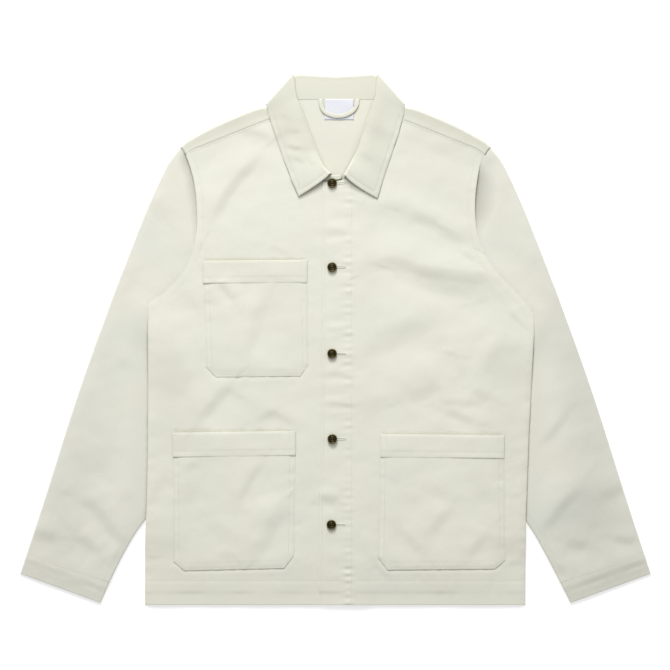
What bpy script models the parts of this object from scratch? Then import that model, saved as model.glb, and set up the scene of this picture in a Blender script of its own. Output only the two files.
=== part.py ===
"""Chore jacket in cotton canvas, buttoned and laid flat, face up.

Frame: +X to the wearer's left side, +Y towards the collar, +Z up from the surface
that the jacket lies on. The origin is the middle of the laid jacket, on that surface.
All sizes are in millimetres until a mesh is made.

The wearer's left front laps over the right one. The sleeves come down at the sides and
tuck under the body between the underarm and the hand.
"""
import math

import bmesh
import bpy
from mathutils import Vector

MILLIMETRE = 0.001

# ---- Cloth ---------------------------------------------------------------------------
WALL = 1.0              # canvas, one ply
COLLAR_WALL = 1.4       # two plies and interlining
SEAM_GAP = 0.3          # between pieces that are sewn or lie together
LAYER = WALL + SEAM_GAP

# ---- Heights above the surface, all of a wall's outer side ----------------------------
FRONT_TOP = 5.8         # fronts, in the body of the jacket
HEM_TOP = 2.6           # fronts, at the hem and the free side seams
SLEEVE_TOP = 4.8        # sleeve, where nothing lies on it
TUCK_TOP = 2.6          # sleeve, where the body lies on it
BACK_RISE = 3.0         # underside of the back over a tucked sleeve
NECK_RISE = 2.0         # underside of the back over the folded-down collar
FRONT_NECK_RISE = 1.2   # fronts, at the neck, over the same fold
LAP_RISE = 1.5          # left front, where it laps over the right
LEAST_SPACE = 0.7       # between a front and the back, under a deep fold

# ---- How finely the cloth is divided --------------------------------------------------
SIDE_ROWS = 17          # hem to underarm
ARMHOLE_ROWS = 11       # underarm to the shoulder seam
SHOULDER_COLUMNS = 7
NECKLINE_COLUMNS = 6
BACK_NECK_COLUMNS = 6
COLLAR_SECTIONS = 9     # from a front end to the shoulder
MOUTH_ROWS = 6          # of the armhole's rows, those that the flat sleeve opens to
ARM_RINGS = 12          # sleeve, from the underarm to the cuff

LEFT = 1                # the wearer's left, at +X
RIGHT = -1

# ---- Outlines. Columns: x from the centre towards the panel's own side, y -------------
HEM_Y = -386.5
CUFF_OUTER = (460.0, -340.5)
CUFF_INNER = (343.0, -383.0)
SHOULDER_TIP = (229.0, 275.0)
NECK_POINT = (69.5, 348.0)      # where the shoulder fold meets the neck
BACK_NECK_Y = 351.5
SHOULDER_FOLD = (SHOULDER_TIP, (222.0, 282.0), (213.0, 290.5), (171.0, 311.5),
                 (118.0, 333.5), (96.0, 338.5), NECK_POINT)
SEAM_TIP = (218.5, 269.0)       # forward shoulder seam, at the armhole
SEAM_NECK = (71.0, 332.0)       # forward shoulder seam, at the neck
SHOULDER_SEAM = (SEAM_TIP, (209.0, 277.5), (96.0, 322.5), SEAM_NECK)
UNDERARM = {LEFT: (289.0, 38.0), RIGHT: (272.5, 52.0)}
ARMHOLE = {
    LEFT: (SEAM_TIP, (210.5, 252.0), (204.5, 213.0), (204.0, 182.0), (207.5, 153.0),
           (217.0, 123.5), (234.0, 98.5), (259.0, 73.0), (279.0, 50.0), UNDERARM[LEFT]),
    RIGHT: (SEAM_TIP, (212.0, 251.0), (206.0, 227.0), (202.5, 195.0), (202.5, 160.0),
            (208.5, 128.0), (218.5, 103.0), (243.0, 73.0), (262.0, 60.5), UNDERARM[RIGHT]),
}
SIDE_SEAM = {
    LEFT: (UNDERARM[LEFT], (289.5, 10.0), (285.5, -80.0), (282.5, -132.0),
           (278.0, -259.0), (277.5, HEM_Y)),
    RIGHT: (UNDERARM[RIGHT], (273.5, 20.0), (273.8, -154.0), (275.2, -227.0),
            (278.0, -300.0), (278.5, HEM_Y)),
}
FRONT_EDGE = {
    LEFT: ((-25.0, HEM_Y), (-25.0, -307.0), (-22.0, -190.0), (-19.5, -95.0), (-19.5, 231.0)),
    RIGHT: ((-12.5, HEM_Y), (-9.5, -95.0), (-9.5, 231.0)),
}
NECKLINE = {
    LEFT: (SEAM_NECK, (66.0, 303.0), (50.0, 268.0), (27.0, 242.0), (4.0, 232.0),
           FRONT_EDGE[LEFT][-1]),
    RIGHT: (SEAM_NECK, (66.0, 303.0), (50.0, 268.0), (27.0, 242.0), (4.0, 232.0),
            FRONT_EDGE[RIGHT][-1]),
}
SLEEVE_CAP = (SHOULDER_TIP, (249.0, 248.0), (269.5, 204.0), (287.5, 160.0), (321.5, 72.5))
OUTER_SLEEVE = (SLEEVE_CAP[-1], (353.5, -15.0), (383.5, -102.5), (426.0, -234.0), CUFF_OUTER)
UNDER_SLEEVE = ((272.0, 8.0), (244.0, -32.0), (226.0, -85.0), (224.0, -140.0),
                (236.0, -195.0), (261.0, -240.0), (283.5, -272.0), (313.0, -324.5), CUFF_INNER)

# ---- Pockets. Columns: x, y of each corner, anticlockwise from the top left -----------
CHEST_POCKET = ((-193.5, 114.0), (-188.5, -39.0), (-174.0, -54.0), (-51.5, -52.5),
                (-40.0, -36.5), (-41.0, 115.5))
RIGHT_POCKET = ((-235.5, -137.5), (-235.5, -323.5), (-219.5, -336.5), (-75.0, -333.0),
                (-60.5, -313.5), (-58.0, -135.0))
LEFT_POCKET = ((65.0, -140.0), (62.0, -316.5), (76.0, -335.0), (232.5, -333.5),
               (247.5, -321.5), (246.5, -142.0))
CHEST_BAND_HEIGHT = 32.5
LOWER_BAND_HEIGHT = 35.0

# ---- Largest folds of the fronts and sleeves ------------------------------------------
# Columns: x and y of one end, x and y of the other, half-width, height (below 0: a trough)
FOLDS = (
    (-118, 270, -186, 172, 17, -1.8),
    (-236, 60, -236, -120, 24, -1.6),
    (-226, 84, -196, 42, 15, -1.2),
    (-148, -62, -204, -124, 18, -1.8),
    (-100, -100, -66, -118, 16, 1.0),
    (60, 200, 196, 140, 20, -1.8),
    (70, 150, 180, 116, 20, 1.2),
    (44, 98, 240, 84, 18, -2.4),
    (240, 84, 262, 50, 12, -1.6),
    (52, -24, 164, 44, 22, -1.4),
    (116, -84, 164, -62, 15, -1.8),
    (236, 10, 214, -70, 26, -1.8),
    (150, -94, 200, -118, 16, -1.6),
    (-362, -236, -308, -300, 20, -1.4),
    (-436, -284, -404, -288, 16, -1.2),
    (300, -284, 362, -210, 20, -1.6),
    (392, -228, 424, -214, 18, -1.4),
    (292, -152, 330, -104, 14, -1.4),
)

# ---- Collar -----------------------------------------------------------------------------
# Columns: x, y. Rows run from the front end to the shoulder, where the leaf turns under.
ROLL_LINE = {
    LEFT: ((12.5, 240.5), (19.5, 253.0), (33.0, 279.5), (45.0, 318.0), (59.0, 357.0)),
    RIGHT: ((7.0, 243.0), (17.5, 253.5), (28.5, 279.5), (43.0, 318.0), (58.0, 357.0)),
}
LEAF_EDGE = {
    LEFT: ((61.0, 206.5), (70.0, 236.0), (80.0, 266.0), (92.0, 300.0), (99.0, 327.0)),
    RIGHT: ((53.5, 209.5), (64.0, 233.0), (75.5, 262.5), (87.5, 298.0), (97.5, 327.0)),
}
COLLAR_START = {LEFT: 0.27, RIGHT: 0.10}    # share of the neckline in front of the collar
COLLAR_TURN_START = 0.985                   # and where the collar turns at the shoulder
# Columns: x and y at the neck seam, at the roll line and at the leaf's edge.
COLLAR_TURN = (63.0, 352.2, 61.0, 384.7, 100.0, 342.0)
COLLAR_BACK = ((58.0, 352.3, 53.0, 385.7, 90.0, 327.5),
               (32.0, 352.3, 30.0, 384.2, 52.0, 317.5),
               (0.0, 352.3, 0.0, 382.5, 0.0, 315.0))
TURN_STEPS = 4          # round the turn at the shoulder, on each side
LEAF_RISE = 1.6         # middle of the leaf, above the front that it lies on
LEAF_END_LIFT = 1.6     # the roll stands up at the front end
STAND_BACK_Z = 2.6
LEAF_BACK_Z = COLLAR_WALL / 2
LEAF_TURN_REACH = 1.6   # how far the turned leaf bulges past its straight fold
STAND_TURN_REACH = 0.8

# ---- Small pieces -----------------------------------------------------------------------
BUTTON_Y = (227.0, 106.0, -20.5, -145.5, -270.5)
BUTTON_X = -5.0
BUTTON_STEPS = 20
# Columns: radius, height above the button's foot; a ring-faced metal button in profile
BUTTON_PROFILE = ((0.0, 3.4), (1.2, 3.4), (2.0, 2.7), (3.2, 2.7), (4.2, 3.6), (5.8, 3.6),
                  (7.0, 2.4), (7.0, 1.2), (3.0, 0.0), (0.0, 0.0))
LABEL_X = (-16.0, 26.5)
LABEL_Y = (322.0, 351.0)
LOOP_WIDTH = 5.5
# Columns: x, y along the middle of the hanger loop's strip
LOOP_PATH = ((-21.0, 351.0), (-20.0, 340.0), (-11.0, 329.0), (1.0, 324.5), (14.0, 327.5),
             (26.0, 335.0), (30.5, 344.0), (30.5, 351.0))
# Columns: x, y of the lower edge, y of the upper edge
STAND_END = ((-18.0, 232.3, 240.0), (-6.0, 232.3, 240.5), (4.0, 233.4, 241.0),
             (9.0, 235.6, 241.0))

CANVAS_COLOUR = (0.79, 0.79, 0.69)
LABEL_COLOUR = (0.84, 0.85, 0.88)
BRASS_COLOUR = (0.10, 0.085, 0.04)


# ---- Curves -----------------------------------------------------------------------------
def lerp(start, end, share):
    return tuple(a + (b - a) * share for a, b in zip(start, end))


def distance(start, end):
    return math.dist(start[:2], end[:2])


def lengths_along(points):
    """The distance from the first point to each point, along the line."""
    total = [0.0]
    for start, end in zip(points, points[1:]):
        total.append(total[-1] + distance(start, end))
    return total


def at_share(points, share):
    """The point at a share, 0 to 1, of a polyline's length."""
    total = lengths_along(points)
    wanted = share * total[-1]
    for index, (start, end) in enumerate(zip(points, points[1:])):
        if wanted <= total[index + 1] or index == len(points) - 2:
            step = (wanted - total[index]) / (total[index + 1] - total[index])
            return lerp(start, end, step)


def smooth_line(table, steps_each=12):
    """A Catmull-Rom curve through a table's points, as a fine polyline."""
    rows = [table[0]] + list(table) + [table[-1]]
    fine = []
    for before, start, end, after in zip(rows, rows[1:], rows[2:], rows[3:]):
        for step in range(steps_each):
            t = step / steps_each
            fine.append(tuple(
                0.5 * (2 * b + (c - a) * t + (2 * a - 5 * b + 4 * c - d) * t * t
                       + (3 * b - a - 3 * c + d) * t ** 3)
                for a, b, c, d in zip(before, start, end, after)))
    fine.append(tuple(table[-1]))
    return fine


def divide(table, count):
    """A table's smooth curve in count equal steps."""
    fine = smooth_line(table)
    return [at_share(fine, step / count) for step in range(count + 1)]


def on_side(points, side):
    """Half-outline points, mirrored to the right when that is their side."""
    return [(side * x, y) for x, y in points]


def pushed_left(points, gap):
    """A polyline moved square to itself, to its left as it runs."""
    moved = []
    for index, (x, y) in enumerate(points):
        before = Vector(points[max(index - 1, 0)])
        after = Vector(points[min(index + 1, len(points) - 1)])
        along = (after - before).normalized()
        moved.append((x - along.y * gap, y + along.x * gap))
    return moved


def ramp(value, start, end):
    """0 at start, 1 at end and eased between them; start may be above end."""
    share = min(max((value - start) / (end - start), 0.0), 1.0)
    return share * share * (3.0 - 2.0 * share)


def x_at(table, y):
    """The x of an outline table at a height y, straight between its rows."""
    for (x0, y0), (x1, y1) in zip(table, table[1:]):
        if min(y0, y1) <= y <= max(y0, y1) and y0 != y1:
            return x0 + (x1 - x0) * (y - y0) / (y1 - y0)
    nearest = min(table, key=lambda row: abs(row[1] - y))
    return nearest[0]


# ---- Heights ----------------------------------------------------------------------------
def side_of(x):
    return LEFT if x >= 0 else RIGHT


def fold_height(x, y):
    """What the named folds add to a panel's height at a point: the strongest counts."""
    strongest = 0.0
    for x0, y0, x1, y1, half_width, height in FOLDS:
        run = Vector((x1 - x0, y1 - y0))
        offset = Vector((x - x0, y - y0))
        share = offset.dot(run) / run.length_squared
        nearest = min(max(share, 0.0), 1.0)
        away = (offset - run * nearest).length / half_width
        added = height * math.exp(-away * away)
        if abs(added) > abs(strongest):
            strongest = added
    return strongest


def over_tuck(x, y, margin):
    """1 where the body lies on a tucked sleeve, with a margin inside its edge, else 0."""
    inner = x_at(UNDER_SLEEVE, min(max(y, -240.0), 14.0))
    across = ramp(abs(x), inner - margin - 38.0, inner - margin)
    below_arm = ramp(y, 100.0, 52.0)
    above_hand = ramp(y, -322.0, -282.0)
    return across * below_arm * above_hand


def at_neck(x, y):
    """1 over the collar that is folded under the back's neck, else 0."""
    return ramp(y, 278.0, 302.0) * ramp(abs(x), 142.0, 114.0)


def back_bottom(x, y):
    """The back's outer side, which faces down."""
    return max(BACK_RISE * over_tuck(x, y, 28.0), NECK_RISE * at_neck(x, y))


def front_top(side, x, y):
    """A front's outer side, which faces up."""
    seam = x_at(SIDE_SEAM[side_of(x)], y)
    from_hem = ramp(y, HEM_Y, HEM_Y + 75.0)
    free_side = ramp(abs(x), seam - 55.0, seam) * ramp(y, -284.0, -330.0)
    plateau = from_hem * (1.0 - free_side)
    height = HEM_TOP + (FRONT_TOP - HEM_TOP) * plateau
    height += FRONT_NECK_RISE * at_neck(x, y)
    height += fold_height(x, y) * plateau
    height = max(height, back_bottom(x, y) + 2 * WALL + LEAST_SPACE)
    if side == LEFT:
        height += LAP_RISE * ramp(x, 66.0, 34.0)
    return height


def sleeve_top(side, x, y):
    """A sleeve's upper outer side."""
    outside = abs(x) - x_at(SIDE_SEAM[side], y)
    beside_body = ramp(outside, 56.0, 22.0) * ramp(y, -322.0, -285.0) * ramp(y, 118.0, 66.0)
    height = SLEEVE_TOP - (SLEEVE_TOP - TUCK_TOP) * beside_body
    return height + fold_height(x, y) * 0.6 * (1.0 - beside_body)


# ---- Mesh helpers -----------------------------------------------------------------------
def shares_of(first, second):
    """How far along each point lies, averaged over two facing edges."""
    one, two = lengths_along(first), lengths_along(second)
    return [(a / one[-1] + b / two[-1]) / 2 for a, b in zip(one, two)]


def coons(bottom, top, left, right):
    """Rows of (x, y) that fill four edges; facing edges have as many points."""
    across, up = shares_of(bottom, top), shares_of(left, right)
    rows = []
    for j, v in enumerate(up):
        row = []
        for i, u in enumerate(across):
            point = []
            for axis in (0, 1):
                ruled = (1 - v) * bottom[i][axis] + v * top[i][axis]
                ruled += (1 - u) * left[j][axis] + u * right[j][axis]
                corners = (1 - v) * ((1 - u) * bottom[0][axis] + u * bottom[-1][axis])
                corners += v * ((1 - u) * top[0][axis] + u * top[-1][axis])
                point.append(ruled - corners)
            row.append(tuple(point))
        rows.append(row)
    return rows


def evened(rows, rounds=250):
    """Rows of (x, y) with the same edges and the inner points spread evenly, uncrossed."""
    grid = [[Vector(point) for point in row] for row in rows]
    for _ in range(rounds):
        for j in range(1, len(grid) - 1):
            for i in range(1, len(grid[0]) - 1):
                across = (grid[j][i + 1] - grid[j][i - 1]) / 2
                up = (grid[j + 1][i] - grid[j - 1][i]) / 2
                twist = (grid[j + 1][i + 1] - grid[j + 1][i - 1]
                         - grid[j - 1][i + 1] + grid[j - 1][i - 1]) / 4
                a, b, c = up.length_squared, across.dot(up), across.length_squared
                grid[j][i] = (a * (grid[j][i + 1] + grid[j][i - 1])
                              + c * (grid[j + 1][i] + grid[j - 1][i])
                              - 2 * b * twist) / (2 * (a + c))
    return [[tuple(point) for point in row] for row in grid]


def grid_mesh(rows, flip=False, ring=False):
    """A bmesh of triangles through rows of points; None leaves a hole. Sizes in mm."""
    mesh = bmesh.new()
    verts = [[mesh.verts.new(Vector(p) * MILLIMETRE) if p else None for p in row]
             for row in rows]
    for low, high in zip(verts, verts[1:]):
        if ring:
            low, high = low + low[:1], high + high[:1]
        for a, b, c, d in zip(low, low[1:], high[1:], high):
            if None in (a, b, c, d):
                continue
            for corners in ((a, b, c), (a, c, d)):
                mesh.faces.new(reversed(corners) if flip else corners)
    return mesh


def add_object(name, mesh, material, wall=None, offset=-1.0):
    """An object from a bmesh; with a wall it is a shell, thickened inward by default."""
    data = bpy.data.meshes.new(name)
    mesh.to_mesh(data)
    mesh.free()
    data.materials.append(material)
    piece = bpy.data.objects.new(name, data)
    bpy.data.collections["chore_jacket"].objects.link(piece)
    if wall:
        shell = piece.modifiers.new("wall", "SOLIDIFY")
        shell.thickness = wall * MILLIMETRE
        shell.offset = offset
        shell.use_even_offset = False
    return piece


def solid_material(name, colour, roughness, metallic=0.0):
    material = bpy.data.materials.new(name)
    material.use_nodes = True
    shader = material.node_tree.nodes["Principled BSDF"]
    shader.inputs["Base Color"].default_value = (*colour, 1.0)
    shader.inputs["Roughness"].default_value = roughness
    shader.inputs["Metallic"].default_value = metallic
    return material


# ---- Body -------------------------------------------------------------------------------
def armhole_line(side):
    """The armhole from the shoulder seam to the underarm, as every piece there meets it."""
    return on_side(divide(ARMHOLE[side], ARMHOLE_ROWS), side)


def side_line(side):
    """The side seam from the hem to the underarm."""
    return on_side(divide(SIDE_SEAM[side], SIDE_ROWS)[::-1], side)


def front_surface(side):
    """A front's outer side, as triangles."""
    outer_edge = side_line(side) + armhole_line(side)[::-1][1:]
    opening_edge = on_side(divide(FRONT_EDGE[side], len(outer_edge) - 1), side)
    seam = on_side(divide(SHOULDER_SEAM, SHOULDER_COLUMNS), side)
    top = seam + on_side(divide(NECKLINE[side], NECKLINE_COLUMNS), side)[1:]
    hem = [lerp(outer_edge[0], opening_edge[0], step / (len(top) - 1))
           for step in range(len(top))]
    rows = [[(x, y, front_top(side, x, y)) for x, y in row]
            for row in coons(hem, top, outer_edge, opening_edge)]
    return grid_mesh(rows, flip=(side == LEFT))


def fold_base(side):
    """Points inside the shoulder fold, where the back starts to turn over."""
    line = on_side(divide(SHOULDER_FOLD, SHOULDER_COLUMNS), side)
    base = []
    for index, point in enumerate(line):
        before = Vector(line[max(index - 1, 0)])
        after = Vector(line[min(index + 1, len(line) - 1)])
        along = (after - before).normalized()
        outward = Vector((-along.y, along.x)) * -side
        base.append((point[0], point[1], outward))
    tip, second = base[0], base[1]
    start = lerp(tip[:2], second[:2], 2.5 / distance(tip, second))
    base[0] = (*start, tip[2])
    return base


def back_surface():
    """The back's outer side: down on the surface, and over the shoulders to the seams."""
    reach = 3.0
    folds = {side: fold_base(side) for side in (LEFT, RIGHT)}
    turned = {side: [(x - reach * n.x, y - reach * n.y) for x, y, n in folds[side]]
              for side in folds}
    neck_x = turned[LEFT][-1][0]
    neck = [(neck_x * (2 * step / BACK_NECK_COLUMNS - 1), BACK_NECK_Y)
            for step in range(1, BACK_NECK_COLUMNS)]
    top = turned[RIGHT] + neck + turned[LEFT][::-1]
    edges = {}
    for side in (LEFT, RIGHT):
        armhole = armhole_line(side)[::-1][1:]
        edge = side_line(side) + armhole + [turned[side][0]]
        edges[side] = [(x - side * 0.5, y) for x, y in edge[:SIDE_ROWS]] + edge[SIDE_ROWS:]
    hem = [lerp(edges[RIGHT][0], edges[LEFT][0], step / (len(top) - 1))
           for step in range(len(top))]
    rows = [[(x, y, back_bottom(x, y)) for x, y in row]
            for row in coons(hem, top, edges[RIGHT], edges[LEFT])]
    empty = [None] * (BACK_NECK_COLUMNS - 1)
    over_fold = []
    for angle in (45.0, 90.0, 135.0, 180.0):
        row = {side: [] for side in folds}
        for side, points in folds.items():
            for (x, y, outward), (bx, by) in zip(points, turned[side]):
                low, high = back_bottom(bx, by), front_top(RIGHT, bx, by)
                swing = math.radians(angle)
                out = reach * math.sin(swing)
                height = (low + high) / 2 - (high - low) / 2 * math.cos(swing)
                row[side].append((bx + outward.x * out, by + outward.y * out, height))
        over_fold.append(row[RIGHT] + empty + row[LEFT][::-1])
    seams = {side: on_side(divide(SHOULDER_SEAM, SHOULDER_COLUMNS), side) for side in folds}
    for share in (0.5, 1.0):
        row = {side: [] for side in folds}
        for side in folds:
            for start, end in zip(turned[side], seams[side]):
                length = distance(start, end)
                x, y = lerp(start, end, share * (length - SEAM_GAP) / length)
                row[side].append((x, y, front_top(RIGHT, x, y)))
        over_fold.append(row[RIGHT] + empty + row[LEFT][::-1])
    return grid_mesh(rows + over_fold, flip=True)


# ---- Sleeves ----------------------------------------------------------------------------
def halved(points):
    """A polyline with a point added in the middle of every step."""
    finer = points[:1]
    for start, end in zip(points, points[1:]):
        finer += [lerp(start, end, 0.5), end]
    return finer


def sleeve_surface(side):
    """A sleeve's outer side: a flattened tube, from the armhole to the cuff.

    The lower armhole is the upper end of the tube's inner fold.
    """
    tip = (side * SHOULDER_TIP[0], SHOULDER_TIP[1])
    seam = pushed_left([tip] + armhole_line(side), side * 2 * SEAM_GAP)
    mouth = halved(seam[:MOUTH_ROWS + 2])
    under_table = [(side * seam[-1][0], seam[-1][1])] + list(UNDER_SLEEVE)
    inner = seam[MOUTH_ROWS + 1:] + on_side(divide(under_table, ARM_RINGS), side)[1:]
    cap = on_side(divide(SLEEVE_CAP, len(inner) - 1 - ARM_RINGS), side)
    outer = mouth[:1] + cap[1:] + on_side(divide(OUTER_SLEEVE, ARM_RINGS), side)[1:]
    along_mouth = lengths_along(mouth)
    cuff = [lerp(outer[-1], inner[-1], length / along_mouth[-1]) for length in along_mouth]
    rings = []
    for row in evened(coons(mouth, cuff, outer, inner)):
        tops = [(x, y, sleeve_top(side, x, y)) for x, y in row]
        folds = [(x, y, z / 2) for x, y, z in (tops[0], tops[-1])]
        unders = [(x, y, 0.0) for x, y in row]
        rings.append([folds[0]] + tops[1:-1] + [folds[1]] + unders[-2:0:-1])
    return grid_mesh(rings, flip=(side == RIGHT), ring=True)


# ---- Collar -----------------------------------------------------------------------------
def collar_section(row, side, stand_z, leaf_z, leaf_edge_z, reach=(0.0, 0.0)):
    """Points across the collar: neck seam, stand, round the roll, leaf and its edge."""
    neck, roll, edge = row[0:2], row[2:4], row[4:6]
    stand_out, leaf_out = reach
    outward = Vector((edge[1] - roll[1], -(edge[0] - roll[0]))).normalized() * -1.0
    points = []
    for share in (0.0, 0.55, 0.93):
        x, y = lerp(neck, roll, share)
        out = stand_out + (leaf_out - stand_out) * share ** 4
        points.append((x + outward.x * out, y + outward.y * out, stand_z))
    points.append((roll[0] + outward.x * leaf_out, roll[1] + outward.y * leaf_out,
                   (stand_z + leaf_z) / 2))
    for share in (0.05, 0.3, 0.65, 1.0):
        x, y = lerp(roll, edge, share)
        height = leaf_z + (leaf_edge_z - leaf_z) * share
        points.append((x + outward.x * leaf_out, y + outward.y * leaf_out, height))
    return [(side * x, y, z) for x, y, z in points]


def collar_half(side):
    """Sections from the front end of one side to the centre back."""
    neckline = divide(NECKLINE[side], NECKLINE_COLUMNS)[::-1]
    start = COLLAR_START[side]
    shares = [start + (COLLAR_TURN_START - start) * step / COLLAR_SECTIONS
              for step in range(COLLAR_SECTIONS + 1)]
    necks = pushed_left([at_share(neckline, share) for share in shares], 3 * SEAM_GAP)
    rolls = divide(ROLL_LINE[side], COLLAR_SECTIONS)
    edges = divide(LEAF_EDGE[side], COLLAR_SECTIONS)
    sections = []
    for index, (neck, roll, edge) in enumerate(zip(necks, rolls, edges)):
        lift = LEAF_END_LIFT * ramp(index, 4.0, 0.0)
        stand_z = front_top(side, side * neck[0], neck[1]) - WALL / 2
        leaf_z = stand_z + WALL / 2 + LEAF_RISE + lift
        edge_z = front_top(side, side * edge[0], edge[1]) + LEAF_RISE + 0.3 * lift
        sections.append(collar_section((*neck, *roll, *edge), side, stand_z, leaf_z, edge_z))
    front_stand_z = stand_z
    front_leaf_z = leaf_z
    for step in range(TURN_STEPS + 1):
        swing = math.pi * step / TURN_STEPS
        drop = (1 - math.cos(swing)) / 2
        stand_z = front_stand_z + (STAND_BACK_Z - front_stand_z) * drop
        leaf_z = front_leaf_z + (LEAF_BACK_Z - front_leaf_z) * drop
        reach = (STAND_TURN_REACH * math.sin(swing), LEAF_TURN_REACH * math.sin(swing))
        sections.append(collar_section(COLLAR_TURN, side, stand_z, leaf_z, leaf_z, reach))
    for row in divide_rows(COLLAR_BACK, 2):
        sections.append(collar_section(row, side, STAND_BACK_Z, LEAF_BACK_Z, LEAF_BACK_Z))
    return sections


def divide_rows(table, steps):
    """A table's rows with straight steps between them."""
    rows = []
    for start, end in zip(table, table[1:]):
        rows += [lerp(start, end, step / steps) for step in range(steps)]
    return rows + [table[-1]]


def collar_surface():
    """The middle of the collar's wall, from the right front end round to the left one."""
    return grid_mesh(collar_half(RIGHT) + collar_half(LEFT)[::-1][1:])


# ---- Pieces that lie on a panel ------------------------------------------------------------
def cut_from(surface, corners, layers):
    """A patch cut out of a panel's surface along straight edges and moved out by layers."""
    patch = surface.copy()
    for start, end in zip(corners, corners[1:] + corners[:1]):
        along = Vector((end[0] - start[0], end[1] - start[1], 0.0))
        outward = Vector((along.y, -along.x, 0.0))
        everything = patch.verts[:] + patch.edges[:] + patch.faces[:]
        bmesh.ops.bisect_plane(patch, geom=everything, dist=1e-6, clear_outer=True,
                               plane_co=Vector((*start, 0.0)) * MILLIMETRE, plane_no=outward)
    bmesh.ops.translate(patch, verts=patch.verts,
                        vec=(0.0, 0.0, layers * LAYER * MILLIMETRE))
    return patch


def band_corners(pocket, height):
    """The corners of a pocket's top band, a little inside the pocket's own edges."""
    inset = 0.4
    left, right = pocket[0], pocket[-1]
    return [(left[0] + inset, left[1] - inset), (left[0] + inset, left[1] - height),
            (right[0] - inset, right[1] - height), (right[0] - inset, right[1] - inset)]


def add_pocket(name, surface, corners, band_height, material):
    """A patch pocket and the band across its top."""
    add_object(name, cut_from(surface, list(corners), 1), material, WALL)
    band = cut_from(surface, band_corners(corners, band_height), 2)
    add_object(name + "_band", band, material, WALL)


def strip_rows(path, width, height_at):
    """Two rows of points, either side of a path, for a flat strip."""
    edges = []
    for half in (width / 2, -width / 2):
        edge = []
        for index, point in enumerate(path):
            before = Vector(path[max(index - 1, 0)])
            after = Vector(path[min(index + 1, len(path) - 1)])
            along = (after - before).normalized()
            x, y = point[0] - along.y * half, point[1] + along.x * half
            edge.append((x, y, height_at(x, y)))
        edges.append(edge)
    return edges


def add_neck_trim(canvas, label_cloth):
    """The label and the hanger loop, on the inside of the back's neck."""
    inside = NECK_RISE + WALL
    top = inside + LAYER
    label = [[(x, y, top) for x in LABEL_X] for y in LABEL_Y]
    add_object("label", grid_mesh(label), label_cloth, WALL)
    loop = strip_rows(divide(LOOP_PATH, 14), LOOP_WIDTH, lambda x, y: top + LAYER)
    add_object("hanger_loop", grid_mesh(loop, flip=True), canvas, WALL)


def add_stand_tab(canvas):
    """The end of the collar's stand, which shows at the top of the left front's edge."""
    height = front_top(LEFT, *STAND_END[0][:2])
    rows = [[(row[0], row[column], height) for row in STAND_END] for column in (1, 2)]
    add_object("collar_stand_end", grid_mesh(rows), canvas, WALL)


def add_button(index, y, material):
    """A turned metal button, fastened over the left front."""
    mesh = bmesh.new()
    verts = [mesh.verts.new(Vector((radius, 0.0, height)) * MILLIMETRE)
             for radius, height in BUTTON_PROFILE]
    for start, end in zip(verts, verts[1:]):
        mesh.edges.new((start, end))
    button = add_object(f"button_{index}", mesh, material)
    turn = button.modifiers.new("turned", "SCREW")
    turn.axis = "Z"
    turn.angle = math.tau
    turn.steps = turn.render_steps = BUTTON_STEPS
    turn.use_merge_vertices = True
    turn.merge_threshold = 0.00002
    turn.use_normal_calculate = True
    seat = max(front_top(LEFT, BUTTON_X + dx, y + dy) for dx in (-7.0, 7.0)
               for dy in (-7.0, 7.0))
    button.location = Vector((BUTTON_X, y, seat + SEAM_GAP)) * MILLIMETRE


def main():
    for old in list(bpy.data.objects):
        bpy.data.objects.remove(old, do_unlink=True)
    collection = bpy.data.collections.new("chore_jacket")
    bpy.context.scene.collection.children.link(collection)
    canvas = solid_material("cotton_canvas", CANVAS_COLOUR, 0.9)
    label_cloth = solid_material("woven_label", LABEL_COLOUR, 0.7)
    brass = solid_material("antique_brass", BRASS_COLOUR, 0.45, 1.0)

    add_object("back", back_surface(), canvas, WALL)
    fronts = {side: front_surface(side) for side in (LEFT, RIGHT)}
    add_pocket("chest_pocket", fronts[RIGHT], CHEST_POCKET, CHEST_BAND_HEIGHT, canvas)
    add_pocket("pocket_right", fronts[RIGHT], RIGHT_POCKET, LOWER_BAND_HEIGHT, canvas)
    add_pocket("pocket_left", fronts[LEFT], LEFT_POCKET, LOWER_BAND_HEIGHT, canvas)
    add_object("front_left", fronts[LEFT], canvas, WALL)
    add_object("front_right", fronts[RIGHT], canvas, WALL)
    add_object("sleeve_left", sleeve_surface(LEFT), canvas, WALL)
    add_object("sleeve_right", sleeve_surface(RIGHT), canvas, WALL)
    add_object("collar", collar_surface(), canvas, COLLAR_WALL, offset=0.0)
    add_stand_tab(canvas)
    add_neck_trim(canvas, label_cloth)
    for index, y in enumerate(BUTTON_Y, start=1):
        add_button(index, y, brass)


main()
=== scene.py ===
"""A chore jacket in undyed cotton canvas, buttoned and laid flat, face up.

Lengths are in millimetres until a mesh is made. +X is the wearer's left, +Y is towards the
collar and +Z is up from the surface that the jacket lies on. Each piece of cloth is a fine
shell on the form of its solid: the same outlines and heights, with its creases, hems,
seams and stitches added.
"""
import math
from functools import partial

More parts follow.
